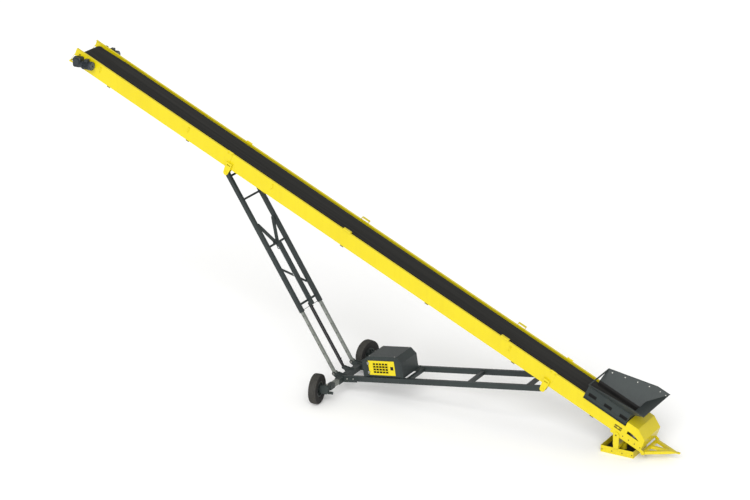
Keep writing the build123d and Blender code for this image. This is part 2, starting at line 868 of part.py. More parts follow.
# Feed hopper: skirts with windows, wings that flare out, a back wall and a rim bar at the front
def wing_half(rise):
    return frame_half + wing_slope_share * (rise - hopper_fold_rise)


def hopper_wing():
    """Flared wing on the right: one plane from the belt past the fold to its rim, and the rim's lip."""
    def point(reach, rise, depth):
        return (-reach, -wing_half(rise) + depth, rise)
    rim = ((hopper_front_reach, rim_front_rise), (rim_bend_reach, rim_bend_rise),
           (rim_tail_reach, rim_tail_rise))
    foot = ((hopper_tail_reach, hopper_fold_rise), (hopper_tail_reach, chute_foot_rise),
            (hopper_front_reach, chute_foot_rise))
    face = make_face(Polyline(*[point(reach, rise, 0) for reach, rise in rim + foot], close=True))
    wing_plate = extrude(face, hopper_sheet, dir=(0, 1, 0))
    for start, end in zip(rim, rim[1:]):
        corners = [point(*start, hopper_sheet), point(*end, hopper_sheet),
                   point(*end, -rim_lip_width), point(*start, -rim_lip_width)]
        wing_plate += extrude(make_face(Polyline(*corners, close=True)), hopper_sheet, dir=(0, 0, -1))
    return wing_plate


def hopper_skirt():
    outer = -frame_half
    skirt = block(-hopper_front_reach, -hopper_tail_reach, outer, outer + hopper_sheet,
                  channel_high, hopper_fold_rise)
    for reach in hopper_window_reaches:
        half = hopper_window_length / 2
        skirt -= block(-reach - half, -reach + half, outer - overrun, outer + overrun,
                       hopper_window_low, hopper_window_high)
    return skirt


def hopper_angle():
    outer = -frame_half
    foot = hopper_flange_rise - hopper_flange / 2
    lip = block(-hopper_front_reach, -hopper_tail_reach, outer - hopper_sheet, outer, foot,
                channel_high + hopper_sheet)
    return lip + block(-hopper_front_reach, -hopper_tail_reach, outer - hopper_flange, outer, foot,
                       foot + hopper_sheet)


def hopper_back():
    """Sloping back wall between the wings."""
    low_half = frame_half - hopper_sheet
    high_half = wing_half(rim_tail_rise)
    foot = -hopper_tail_reach
    back = -rim_tail_reach
    corners = [(foot, -low_half, hopper_fold_rise), (back, -high_half, rim_tail_rise),
               (back, high_half, rim_tail_rise), (foot, low_half, hopper_fold_rise)]
    wall = extrude(make_face(Polyline(*corners, close=True)), hopper_sheet, dir=(-1, 0, 0))
    low = block(-hopper_tail_reach - hopper_sheet, -hopper_tail_reach, -low_half, low_half,
                hopper_back_rise, hopper_fold_rise)
    return wall + low


right_half = hopper_wing() + hopper_skirt() + hopper_angle()
left_half = mirror(right_half, about=Plane.XZ)
front_half = wing_half(rim_front_rise)
rim = block(-hopper_front_reach, -hopper_front_reach + rim_bar, -front_half, front_half,
            rim_front_rise - rim_bar, rim_front_rise)
save("feed_hopper", boom_frame * (right_half + left_half + hopper_back() + rim))


def hopper_liner():
    """Rubber skirt on the inner face of the right wing's foot that seals it onto the belt."""
    hinge_half = wing_half(chute_foot_rise + liner_lap) - hopper_sheet
    foot_half = wing_half(chute_foot_rise) - hopper_sheet
    seal_rise = trough_rise + belt_thick / math.cos(math.radians(trough_angle)) + liner_gap + (
        (foot_half - trough_flat / 2) * math.tan(math.radians(trough_angle)))
    outline = [(-hinge_half, chute_foot_rise + liner_lap), (-foot_half, chute_foot_rise),
               (-foot_half, seal_rise), (-foot_half + liner_thick, seal_rise),
               (-foot_half + liner_thick, chute_foot_rise),
               (-hinge_half + liner_thick, chute_foot_rise + liner_lap)]
    points = [(-hopper_front_reach + hopper_sheet, y, z) for y, z in outline]
    return extrude(make_face(Polyline(*points, close=True)),
                   hopper_front_reach - hopper_tail_reach - 2 * hopper_sheet, dir=(1, 0, 0))


save("hopper_skirt_rubbers", *[boom_frame * shape for shape in both_sides(hopper_liner()).values()])
save("pulley_bearings", *bearings)


# Foot tray: a turned-up base plate with a hub for the swivel pin
def foot_tray():
    half_x = tray_length / 2
    half_y = tray_width / 2
    tray = block(-half_x, half_x, -half_y, half_y, 0, tray_height)
    tray -= block(-half_x + tray_plate, half_x - tray_plate, -half_y + tray_plate, half_y - tray_plate,
                  tray_plate, tray_height + overrun)
    hub = Pos(0, 0, tray_plate) * Cylinder(tray_hub_radius, tray_hub_height,
                                           align=(Align.CENTER, Align.CENTER, Align.MIN))
    bore = Pos(0, 0, tray_plate) * Cylinder(swivel_pin_radius + fit_gap, tray_hub_height + overrun,
                                            align=(Align.CENTER, Align.CENTER, Align.MIN))
    return tray + hub - bore


def tray_lining():
    half_x = tray_length / 2 - tray_plate
    half_y = tray_width / 2 - tray_plate
    mat = block(-half_x, half_x, -half_y, half_y, tray_plate, tray_plate + tray_mat)
    return mat - Pos(0, 0, tray_plate) * Cylinder(tray_hub_radius + fit_gap, tray_height)


save("foot_tray", foot_tray())
save("foot_tray_mat", tray_lining())


# Swivel yoke: a cross beam over the tray with a lug up each side to the boom's foot hinge
def foot_yoke():
    lug_inner = frame_half + cheek_plate + yoke_lug_gap
    lug_outer = lug_inner + yoke_lug_thick
    half = yoke_beam_width / 2
    yoke = block(-half, half, -lug_outer, lug_outer, yoke_beam_low, yoke_beam_high)
    for way in (-1, 1):
        low, high = sorted((way * lug_inner, way * lug_outer))
        lug = block(-yoke_lug_width / 2, yoke_lug_width / 2, low, high, yoke_beam_high, foot_hinge_height)
        lug += cross_bar(0, foot_hinge_height, yoke_lug_radius, low, high)
        pin_low, pin_high = sorted((way * (frame_half - thick_plate), way * (lug_outer + pin_head)))
        yoke += lug + cross_bar(0, foot_hinge_height, foot_pin_radius, pin_low, pin_high)
    pin_foot = tray_plate + fit_gap
    pin = Pos(0, 0, pin_foot) * Cylinder(swivel_pin_radius, yoke_beam_low - pin_foot,
                                         align=(Align.CENTER, Align.CENTER, Align.MIN))
    collar = Pos(0, 0, tray_plate + tray_hub_height + fit_gap) * Cylinder(
        tray_hub_radius, yoke_beam_low - tray_plate - tray_hub_height - fit_gap,
        align=(Align.CENTER, Align.CENTER, Align.MIN))
    return yoke + pin + collar


save("foot_yoke", foot_yoke())


# Drawbar: an A frame with a middle beam, level at the working angle, with a flat towing eye
def drawbar():
    z = drawbar_height
    half_tube = drawbar_tube / 2
    bar_half = frame_half - thick_plate
    bar = square_tube((drawbar_root_reach, -bar_half, z), (drawbar_root_reach, bar_half, z),
                      drawbar_tube, drawbar_wall, (1, 0, 0))
    envelope = block(drawbar_root_reach - half_tube, drawbar_root_reach + half_tube,
                     -bar_half, bar_half, z - half_tube, z + half_tube)
    frame = square_tube((drawbar_root_reach, 0, z), (drawbar_nose_reach, 0, z), drawbar_tube, drawbar_wall)
    for way in (-1, 1):
        start = (drawbar_root_reach, way * drawbar_root_half, z)
        end = (drawbar_nose_reach, way * drawbar_nose_half, z)
        frame += square_tube(start, end, drawbar_tube, drawbar_wall, (0, 0, 1))
    plate_half = hitch_plate_width / 2
    thick_half = hitch_plate_thick / 2
    nose_half = drawbar_nose_half + half_tube
    nose = [(drawbar_nose_reach, -nose_half), (nose_plate_end_reach, -plate_half),
            (nose_plate_end_reach, plate_half), (drawbar_nose_reach, nose_half)]
    nose_face = make_face(Polyline(*[(x, y, z - half_tube) for x, y in nose], close=True))
    nose_box = extrude(nose_face, drawbar_tube, dir=(0, 0, 1))
    nose_box -= plate([(drawbar_nose_reach, z + half_tube), (nose_plate_end_reach, z + half_tube),
                       (nose_plate_end_reach, z + thick_half)], -nose_half, nose_half)
    nose_box -= plate([(drawbar_nose_reach, z - half_tube), (nose_plate_end_reach, z - thick_half),
                       (nose_plate_end_reach, z - half_tube)], -nose_half, nose_half)
    hitch = block(nose_plate_end_reach - nose_plate_root, hitch_eye_reach, -plate_half, plate_half,
                  z - thick_half, z + thick_half)
    hitch += Pos(hitch_eye_reach, 0, z) * Cylinder(plate_half, hitch_plate_thick)
    hitch -= Pos(hitch_eye_reach, 0, z) * Cylinder(hitch_eye_radius, 2 * hitch_plate_thick)
    return bar + (frame - envelope) + nose_box + hitch


def drawbar_hanger():
    """Plate inside the right tail cheek that holds the end of the root tube."""
    half_tube = drawbar_tube / 2
    front_x, front_z = on_boom(-tail_reach + 2 * drawbar_tube, hood_foot_rise)
    back_x, back_z = on_boom(-tail_reach, hood_foot_rise)
    nose = drawbar_root_reach + half_tube
    low = drawbar_height - half_tube
    outline = [(front_x, front_z), (back_x, back_z), (nose, drawbar_height + half_tube), (nose, low),
               (drawbar_root_reach - half_tube, low)]
    return plate(outline, -frame_half, -frame_half + thick_plate)


hangers = list(both_sides(drawbar_hanger()).values())
save("drawbar", drawbar() + hangers[0] + hangers[1])


# Chassis arms: square-cornered tubes from the axle beam up to the boom pin
half_beam = beam_size / 2
beam_envelope = block(-axle_reach - half_beam, -axle_reach + half_beam, -beam_half_length, beam_half_length,
                      axle_height - half_beam, axle_height + half_beam)


def arm():
    low = -arm_line - arm_width / 2
    high = -arm_line + arm_width / 2
    half = arm_height / 2
    end = -half * pin_eye_share
    tube = block(-arm_length, end, low, high, -half, half)
    tube -= block(-arm_length - overrun, end - arm_wall, low + arm_wall, high - arm_wall,
                  -half + arm_wall, half - arm_wall)
    eye = cross_bar(0, 0, half, low, high)
    tube += eye + block(end - arm_wall, 0, low, high, -half, half)
    tube -= cross_bar(0, 0, pin_radius + fit_gap, low - overrun, high + overrun)
    return arm_frame * tube - beam_envelope


for side, shape in both_sides(arm()).items():
    save("arm_" + side, shape)


def arm_cross(station):
    half = arm_cross_tube / 2
    inner = arm_line - arm_width / 2
    bar = block(-station - half, -station + half, -inner, inner, -half, half)
    hollow = block(-station - half + arm_wall, -station + half - arm_wall, -inner, inner,
                   -half + arm_wall, half - arm_wall)
    return bar - hollow


save("arm_cross_members", *[arm_frame * arm_cross(station) for station in arm_cross_stations])


# Axle beam with the telescopic ends that carry the kingpins
def axle_beam():
    bore = half_beam - beam_wall
    return beam_envelope - block(-axle_reach - bore, -axle_reach + bore, -beam_half_length - overrun,
                                 beam_half_length + overrun, axle_height - bore, axle_height + bore)


def axle_extension():
    half = extension_size / 2
    bore = half - extension_wall
    inner_end = -beam_half_length + extension_overlap
    outer_end = -kingpin_line + carrier_neck_length + fit_gap
    low = axle_height - half
    high = axle_height + half
    bar = block(-axle_reach - half, -axle_reach + half, outer_end, inner_end, low, high)
    bar -= block(-axle_reach - bore, -axle_reach + bore, outer_end - overrun, inner_end + overrun,
                 axle_height - bore, axle_height + bore)
    for step in range(extension_hole_count):
        y = -beam_half_length - extension_hole_pitch * (step + 1 / 2)
        bar -= round_bar((-axle_reach, y, low - overrun), (-axle_reach, y, high + overrun),
                         extension_hole_radius)
    collar_half = half_beam - beam_wall
    collar = block(-axle_reach - collar_half, -axle_reach + collar_half, -beam_half_length,
                   -beam_half_length + beam_wall, axle_height - collar_half, axle_height + collar_half)
    collar -= block(-axle_reach - bore, -axle_reach + bore, -beam_half_length - overrun,
                    -beam_half_length + beam_wall + overrun, axle_height - bore, axle_height + bore)
    return bar + collar


def kingpin_carrier():
    """Sleeve on the end of the extension, narrowed to a neck at the kingpin's boss."""
    half = carrier_size / 2
    seat = extension_size / 2 + fit_gap
    neck_line = -kingpin_line + carrier_neck_length
    sleeve = block(-axle_reach - half, -axle_reach + half, neck_line - thick_plate, -carrier_line,
                   axle_height - half, axle_height + half)
    sleeve -= block(-axle_reach - seat, -axle_reach + seat, neck_line, -carrier_line + overrun,
                    axle_height - seat, axle_height + seat)
    neck = carrier_neck / 2
    boss_low = axle_height - kingpin_boss_height / 2
    boss_high = axle_height + kingpin_boss_height / 2
    sleeve += block(-axle_reach - neck, -axle_reach + neck, -kingpin_line, neck_line, axle_height - half,
                    axle_height + half)
    sleeve += round_bar((-axle_reach, -kingpin_line, boss_low), (-axle_reach, -kingpin_line, boss_high),
                        kingpin_boss_radius)
    return sleeve - round_bar((-axle_reach, -kingpin_line, boss_low - overrun),
                              (-axle_reach, -kingpin_line, boss_high + overrun), kingpin_radius + fit_gap)


save("axle_beam", axle_beam())
for side, shape in both_sides(axle_extension()).items():
    save("axle_extension_" + side, shape)
save("kingpin_carriers", *both_sides(kingpin_carrier()).values())


# Foot plates: cheeks either side of each arm and leg that tie leg pin, beam and arm together
def foot_plates():
    pieces = []
    outer = leg_line + leg_outer / 2 + turn_gap
    inner = leg_line - leg_outer / 2 - turn_gap - gusset_thick
    lug_x = -leg_foot_reach
    lug_z = leg_foot_height
    end_z = axle_height + (axle_reach - gusset_end_reach) * math.tan(math.radians(arm_slope))
    beam_low = axle_height - half_beam - thick_plate
    beam_high = axle_height + half_beam + thick_plate
    outline = [(lug_x - pin_head_radius, lug_z - pin_head_radius), (-axle_reach - half_beam, beam_low),
               (-axle_reach + half_beam, beam_low), (-gusset_end_reach, end_z - gusset_half_height),
               (-gusset_end_reach, end_z + gusset_half_height / 2), (-axle_reach + half_beam, beam_high),
               (lug_x + 2 * pin_head_radius, lug_z + pin_head_radius)]
    for place in (inner, outer):
        cheek = plate(outline, -place - gusset_thick, -place)
        cheek += cross_bar(lug_x, lug_z, 2 * pin_radius, -place - gusset_thick, -place)
        cheek -= cross_bar(lug_x, lug_z, pin_radius + fit_gap, -place - gusset_thick - overrun,
                           -place + overrun)
        pieces.append(cheek - beam_envelope)
    return pieces


plates_right = foot_plates()
for side in ("right", "left"):
    save("leg_foot_plates_" + side, *[both_sides(piece)[side] for piece in plates_right])


def foot_pin():
    inner = leg_line - leg_outer / 2 - turn_gap - gusset_thick - pin_head
    outer = leg_line + leg_outer / 2 + turn_gap + gusset_thick + pin_head
    return cross_bar(-leg_foot_reach, leg_foot_height, pin_radius, -outer, -inner)


save("leg_foot_pins", *both_sides(foot_pin()).values())


# Kingpins and knuckles: the wheel stands on a circle about the foot, its axle aimed at the slewing centre
def kingpin():
    half = kingpin_boss_height / 2 + turn_gap + fork_plate + pin_head
    return round_bar((-axle_reach, -kingpin_line, axle_height - half),
                     (-axle_reach, -kingpin_line, axle_height + half), kingpin_radius)


wheel_heading = math.degrees(math.atan2(kingpin_line, axle_reach))
wheel_frame = Pos(-axle_reach, -kingpin_line, 0) * Rot(0, 0, wheel_heading)


def knuckle():
    """Fork about the kingpin, modelled with its stub axle towards -X."""
    half = fork_width / 2
    gap = kingpin_boss_height / 2 + turn_gap
    top = axle_height + gap
    foot = axle_height - gap
    fork = block(-fork_back - thick_plate, -fork_back, -half, half, foot - fork_plate, top + fork_plate)
    for low in (foot - fork_plate, top):
        leaf = block(-fork_back, 0, -half, half, low, low + fork_plate)
        leaf += Pos(0, 0, low) * Cylinder(half, fork_plate, align=(Align.CENTER, Align.CENTER, Align.MIN))
        fork += leaf
    side = block(-fork_side_back, fork_side_front, -half - fork_plate, -half,
                 foot - fork_plate - fork_side_drop, top + fork_plate)
    fork += chamfer(side.edges().filter_by(Axis.Y), fork_side_drop)
    tongue = block(0, tongue_length, -tongue_width / 2, tongue_width / 2, foot - tongue_thick, foot)
    tongue += Pos(tongue_length, 0, foot - tongue_thick) * Cylinder(
        tongue_width / 2, tongue_thick, align=(Align.CENTER, Align.CENTER, Align.MIN))
    tongue -= Pos(tongue_length, 0, foot) * Cylinder(tongue_hole_radius, 4 * tongue_thick)
    fork += chamfer(tongue.edges().filter_by(Axis.Y).group_by(Axis.X)[0].group_by(Axis.Z)[0], fork_plate)
    fork -= round_bar((0, 0, foot - tongue_thick - overrun), (0, 0, top + fork_plate + overrun),
                      kingpin_radius + fit_gap)
    stub_end = -stub_reach - hub_length / 2
    stub = round_bar((-fork_back - thick_plate, 0, tyre_radius), (stub_end, 0, tyre_radius), stub_radius)
    return fork + stub


save("kingpins", *both_sides(kingpin()).values())
for side, shape in both_sides(wheel_frame * knuckle()).items():
    save("knuckle_" + side, shape)


# Wheels: tyre, dished rim and hub, turned about their axle
def turned(points):
    """A ring turned about the axle from its profile of places along the axle and radii."""
    outline = Polyline(*[(place, 0, radius) for place, radius in points], close=True)
    return Pos(-stub_reach, 0, tyre_radius) * revolve(make_face(outline), Axis.X, 360)


def tyre():
    half = tyre_width / 2
    bead = half * tyre_bead_share
    middle_radius = (tyre_bead_radius + tyre_shoulder_radius) / 2
    side = [(bead, tyre_bead_radius), (bead, tyre_bead_radius + rim_lip + fit_gap),
            (half, middle_radius), (half - tyre_groove_width, tyre_shoulder_radius),
            (bead, tyre_radius - tyre_groove_depth / 2)]
    profile = [(-place, radius) for place, radius in side]
    for share in tyre_groove_shares:
        low = share * tyre_width - tyre_groove_width / 2
        high = low + tyre_groove_width
        profile += [(low, tyre_radius), (low, tyre_radius - tyre_groove_depth),
                    (high, tyre_radius - tyre_groove_depth), (high, tyre_radius)]
    return turned(profile + side[::-1])


def rim_ring():
    half = tyre_width / 2 * tyre_bead_share
    bead = tyre_bead_radius - fit_gap
    lip = bead + rim_lip
    seat = half / 2
    well = half / 3
    edge = half + sheet + fit_gap
    outer = [(edge, lip), (half + fit_gap, lip), (half + fit_gap, bead), (seat, bead - sheet),
             (well, rim_well_radius)]
    inner = [(edge, bead - sheet), (seat, bead - 2 * sheet), (well, rim_well_radius - sheet)]
    profile = [(-place, radius) for place, radius in outer] + outer[::-1]
    profile += inner + [(-place, radius) for place, radius in inner[::-1]]
    disc_foot = stub_radius + fit_gap
    disc_edge = rim_well_radius - sheet / 2
    disc = [(rim_disc_offset, disc_foot), (rim_disc_offset, disc_edge),
            (rim_disc_offset + rim_disc_thick, disc_edge), (rim_disc_offset + rim_disc_thick, disc_foot)]
    return turned(profile) + turned(disc)


def wheel_hub():
    """Hub cap and flange outside the disc, bored for the stub axle."""
    cap_end = -hub_length / 2 - hub_radius / 2
    bore_end = -hub_length / 2 - turn_gap
    neck = hub_radius * hub_neck_share
    bore = stub_radius + fit_gap
    profile = [(cap_end - pin_head, 0), (cap_end - pin_head, hub_radius / 2),
               (cap_end, hub_radius / 2 + pin_head), (rim_disc_offset - pin_head, neck),
               (rim_disc_offset, neck), (rim_disc_offset, bore), (bore_end, bore), (bore_end, 0)]
    return turned(profile)


def wheel_nuts():
    nuts = []
    for step in range(rim_hole_count):
        turn = 2 * math.pi * step / rim_hole_count
        y = rim_hole_circle * math.cos(turn)
        z = tyre_radius + rim_hole_circle * math.sin(turn)
        x = -stub_reach + rim_disc_offset
        nuts.append(round_bar((x, y, z), (x - wheel_nut_length, y, z), wheel_nut_radius))
    return nuts


for side in ("right", "left"):
    save("tyre_" + side, both_sides(wheel_frame * tyre())[side])
    rim_and_nuts = rim_ring()
    save("rim_" + side, both_sides(wheel_frame * rim_and_nuts)[side])
    hub_pieces = [wheel_hub()] + wheel_nuts()
    save("hub_" + side, *[both_sides(wheel_frame * piece)[side] for piece in hub_pieces])


# Upper leg: two outer tubes with cross tubes, a V of braces and the sleeve round the lift cylinder
def leg_post():
    """Right-hand outer tube with its pin eye at the top."""
    half = leg_outer / 2
    low = -leg_line - half
    high = -leg_line + half
    bore = half - leg_outer_wall
    post = block(-half, half, low, high, leg_outer_low, leg_length)
    post -= block(-bore, bore, -leg_line - bore, -leg_line + bore, leg_outer_low - overrun,
                  leg_length - cheek_radius)
    post += cross_bar(0, leg_length, half, low, high)
    post += block(-half - lock_lever_proud, -half, -leg_line - lock_lever_proud,
                  -leg_line + lock_lever_proud, leg_outer_low, leg_outer_low + lock_lever_length)
    return post - cross_bar(0, leg_length, pin_radius, low - overrun, high + overrun)


def leg_pad():
    """Sliding pad collar in the mouth of the outer tube."""
    half = leg_outer / 2 - leg_outer_wall
    gap = leg_inner / 2 + fit_gap
    ring = block(-half, half, -leg_line - half, -leg_line + half, leg_outer_low,
                 leg_outer_low + leg_pad_length)
    return ring - block(-gap, gap, -leg_line - gap, -leg_line + gap, leg_outer_low - overrun,
                        leg_outer_low + leg_pad_length + overrun)


inner_line = leg_line - leg_outer / 2


def leg_ladder():
    """Cross tubes, braces, rod lug, link rod and the channel that guards the lift rod."""
    cross_half = leg_cross_tube / 2
    ladder = None
    heights = [leg_cross_low, leg_hub_height] + [leg_length - drop for drop in leg_cross_drops]
    for height in heights:
        bar = square_tube((0, -inner_line, height), (0, inner_line, height), leg_cross_tube, sheet,
                          (1, 0, 0))
        ladder = bar if ladder is None else ladder + bar
    pass_half = barrel_radius + turn_gap
    ladder -= block(-cross_half - overrun, cross_half + overrun, -pass_half, pass_half,
                    leg_cross_low - leg_cross_tube, leg_cross_low + leg_cross_tube)
    for way in (-1, 1):
        start = (0, way * (inner_line - leg_brace_tube / 2), leg_brace_height)
        end = (0, way * leg_cross_tube / 2, leg_hub_height)
        ladder += square_tube(start, end, leg_brace_tube, sheet, (1, 0, 0))
    hub_low = leg_hub_height - cross_half
    hub_high = leg_hub_height + cross_half
    hub_top = leg_hub_height + 2 * leg_cross_tube
    hub = [(-leg_hub_plate_half, hub_low), (leg_hub_plate_half, hub_low), (leg_hub_plate_half, hub_high),
           (leg_cross_tube, hub_top), (-leg_cross_tube, hub_top), (-leg_hub_plate_half, hub_high)]
    hub_face = make_face(Polyline(*[(-leg_brace_tube / 2, y, z) for y, z in hub], close=True))
    ladder += extrude(hub_face, sheet, dir=(-1, 0, 0))
    guard_half = guard_width / 2
    guard = block(cross_half, cross_half + guard_depth, -guard_half, guard_half, guard_low, leg_hub_height)
    guard -= block(cross_half - overrun, cross_half + guard_depth - guard_wall, -guard_half + guard_wall,
                   guard_half - guard_wall, guard_low - overrun, leg_hub_height - cross_half)
    for way in (-1, 1):
        low, high = sorted((way * (rod_eye_half + fit_gap), way * (rod_eye_half + ram_lug_thick)))
        lug = block(-cross_half, cross_half, low, high, rod_eye_height, leg_hub_height - cross_half)
        lug += cross_bar(0, rod_eye_height, ram_eye_radius, low, high)
        guard += lug - cross_bar(0, rod_eye_height, ram_pin_radius + fit_gap, low - overrun, high + overrun)
    back = -leg_outer / 2
    brace_line = leg_line - diagonal_tube / 2
    brace_x = back - diagonal_tube / 2
    diagonal = square_tube((brace_x, -brace_line, diagonal_right_height),
                           (brace_x, brace_line, diagonal_left_height), diagonal_tube, sheet, (1, 0, 0))
    link_end = leg_line - lock_lever_proud
    link = cross_bar(back - link_rod_radius, link_rod_height, link_rod_radius, -link_end, link_end)
    return [ladder + guard, diagonal, link]


for side, shape in both_sides(leg_post()).items():
    save("outer_leg_tube_" + side, leg_frame * shape)
save("outer_leg_pads", *[leg_frame * shape for shape in both_sides(leg_pad()).values()])
save("outer_leg_braces", *[leg_frame * shape for shape in leg_ladder()])


# Lower leg: two inner tubes with stop holes, and the barrel of the lift cylinder between them
def inner_leg_tube():
    half = leg_inner / 2
    bore = half - leg_inner_wall
    low = -leg_line - half
    high = -leg_line + half
    tube = block(-half, half, low, high, 0, leg_inner_top)
    tube -= block(-bore, bore, -leg_line - bore, -leg_line + bore, pin_head_radius + leg_inner_wall,
                  leg_inner_top + overrun)
    tube += cross_bar(0, 0, half, low, high)
    tube -= cross_bar(0, 0, pin_radius + fit_gap, low - overrun, high + overrun)
    for step in range(leg_hole_count):
        height = leg_hole_first + leg_hole_pitch * step
        tube -= cross_bar(0, height, leg_hole_radius, low - overrun, high + overrun)
    return tube


for side, shape in both_sides(inner_leg_tube()).items():
    save("inner_leg_tube_" + side, leg_frame * shape)


def lift_barrel():
    barrel = round_bar((0, 0, barrel_foot), (0, 0, barrel_top), barrel_radius)
    barrel -= round_bar((0, 0, barrel_foot + thick_plate), (0, 0, barrel_top + overrun), barrel_bore)
    gland = round_bar((0, 0, barrel_top - thick_plate), (0, 0, barrel_top), barrel_radius)
    barrel += gland - round_bar((0, 0, barrel_top - 2 * thick_plate), (0, 0, barrel_top + overrun),
                                rod_radius + fit_gap)
    eye = cross_bar(0, 0, ram_eye_radius, -rod_eye_half, rod_eye_half)
    neck = block(-rod_eye_half, rod_eye_half, -rod_eye_half, rod_eye_half, 0, barrel_foot + thick_plate)
    pipe_x = barrel_radius + barrel_pipe_radius / 2
    pipe = round_bar((pipe_x, 0, barrel_pipe_low), (pipe_x, 0, barrel_top - barrel_foot), barrel_pipe_radius)
    port = round_bar((barrel_bore + turn_gap, 0, port_place), (port_height + barrel_radius, 0, port_place),
                     port_radius)
    far_port = Pos(0, 0, barrel_top - barrel_foot - port_place) * port
    pin_hole = cross_bar(0, 0, ram_pin_radius + fit_gap, -rod_eye_half - overrun, rod_eye_half + overrun)
    return barrel + eye + neck + pipe + port + far_port - pin_hole


def lift_rod():
    rod = round_bar((0, 0, rod_low), (0, 0, rod_eye_height), rod_radius)
    rod += round_bar((0, 0, rod_low), (0, 0, rod_low + barrel_bore), barrel_bore - fit_gap)
    pin_half = rod_eye_half + ram_lug_thick + turn_gap
    return rod + cross_bar(0, rod_eye_height, ram_eye_radius, -rod_eye_half, rod_eye_half) + cross_bar(
        0, rod_eye_height, ram_pin_radius, -pin_half, pin_half)


def lift_lug():
    """Fork on the axle beam that holds the cylinder's foot pin."""
    inner = rod_eye_half + turn_gap
    outer = inner + ram_lug_thick
    outline = [(-leg_foot_reach - ram_eye_radius, leg_foot_height),
               (-axle_reach - half_beam, axle_height - half_beam),
               (-axle_reach + half_beam, axle_height + half_beam),
               (-axle_reach + half_beam, axle_height + half_beam + thick_plate),
               (-leg_foot_reach, leg_foot_height + ram_eye_radius)]
    fork = None
    for low, high in ((-outer, -inner), (inner, outer)):
        cheek = plate(outline, low, high)
        cheek += cross_bar(-leg_foot_reach, leg_foot_height, ram_eye_radius, low, high)
        fork = cheek if fork is None else fork + cheek
    fork += cross_bar(-leg_foot_reach, leg_foot_height, ram_pin_radius, -outer - pin_head, outer + pin_head)
    return fork - beam_envelope


save("lift_cylinder_barrel", leg_frame * lift_barrel())
save("lift_cylinder_rod", leg_frame * lift_rod())
save("lift_cylinder_lug", lift_lug())


# Power pack: sheet housing across the arms, an engine block inside and a perforated door
def pack_outline(inset):
    """Section of the housing, from its back face over both bevels to its front face."""
    back = pack_x + inset
    front = pack_x + pack_length - inset
    roof = pack_low + pack_height - inset
    eaves = pack_low + pack_side_height
    return [(back, pack_low + inset), (back, eaves), (pack_x + pack_bevel_back + inset / 2, roof),
            (pack_x + pack_length - pack_bevel_front - inset / 2, roof), (front, eaves),
            (front, pack_low + inset)]


def pack_housing():
    shell = plate(pack_outline(0), -pack_right_face, pack_left_face)
    shell -= plate(pack_outline(pack_sheet), -pack_right_face + pack_sheet, pack_left_face - pack_sheet)
    shell -= block(pack_x + door_back - door_gap, pack_x + door_front + door_gap,
                   -pack_right_face - overrun, -pack_right_face + overrun,
                   pack_low + door_low - door_gap, pack_low + door_high + door_gap)
    skid_low = arm_height / 2
    for start in (pack_x, pack_x + pack_length - arm_cross_tube):
        shell += block(start, start + arm_cross_tube, -pack_right_face, arm_line, skid_low, pack_low)
    return shell


def engine():
    middle_x = pack_x + pack_length / 2
    middle_y = (pack_left_face - pack_right_face) / 2
    floor = pack_low + pack_sheet
    return block(middle_x - engine_length / 2, middle_x + engine_length / 2, middle_y - engine_width / 2,
                 middle_y + engine_width / 2, floor, floor + engine_height)


def door_slot(x, z, y_low, y_high):
    """One slanted slot of the door, round at both ends."""
    half = door_slot_width / 2
    run = (door_slot_length - door_slot_width) / 2
    lean = run * math.tan(math.radians(door_slot_slant))
    slot = cross_bar(x - lean, z - run, half, y_low, y_high)
    slot += cross_bar(x + lean, z + run, half, y_low, y_high)
    return slot + plate([(x - lean - half, z - run), (x - lean + half, z - run), (x + lean + half, z + run),
                         (x + lean - half, z + run)], y_low, y_high)


def pack_door():
    face = -pack_right_face
    left = pack_x + door_back
    right = pack_x + door_front
    low = pack_low + door_low
    high = pack_low + door_high
    door = block(left, right, face, face + pack_sheet, low, high)
    middle_x = (left + right) / 2 - door_slot_shift
    middle_z = (low + high) / 2
    for row in range(door_rows):
        for column in range(door_columns):
            x = middle_x + (column - (door_columns - 1) / 2) * door_pitch
            z = middle_z + (row - (door_rows - 1) / 2) * door_row_pitch
            door -= door_slot(x, z, face - overrun, face + overrun)
    door += cross_bar(right - latch_inset, middle_z, latch_radius, face - latch_proud, face)
    barrel_x = left - door_gap / 2 - 2 * door_hinge_radius
    barrel_y = face - door_hinge_radius
    for height in door_hinge_heights:
        low_end = pack_low + height - door_hinge_length / 2
        high_end = low_end + door_hinge_length
        door += round_bar((barrel_x, barrel_y, low_end), (barrel_x, barrel_y, high_end), door_hinge_radius)
        door += block(barrel_x, left + latch_radius, barrel_y - door_hinge_strap, barrel_y,
                      low_end + door_hinge_radius, high_end - door_hinge_radius)
        door += block(left, left + latch_radius, barrel_y, face,
                      low_end + door_hinge_radius, high_end - door_hinge_radius)
    return door


save("power_pack_housing", arm_frame * pack_housing())
save("engine_block", arm_frame * engine())
save("power_pack_door", arm_frame * pack_door())
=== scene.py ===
# Radial stacker conveyor: finishes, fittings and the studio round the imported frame.
# Metres, with the frame's own axes: X from the discharge head to the drawbar, Y to the left, Z up.
import math

import bmesh
import bpy
from mathutils import Matrix, Vector


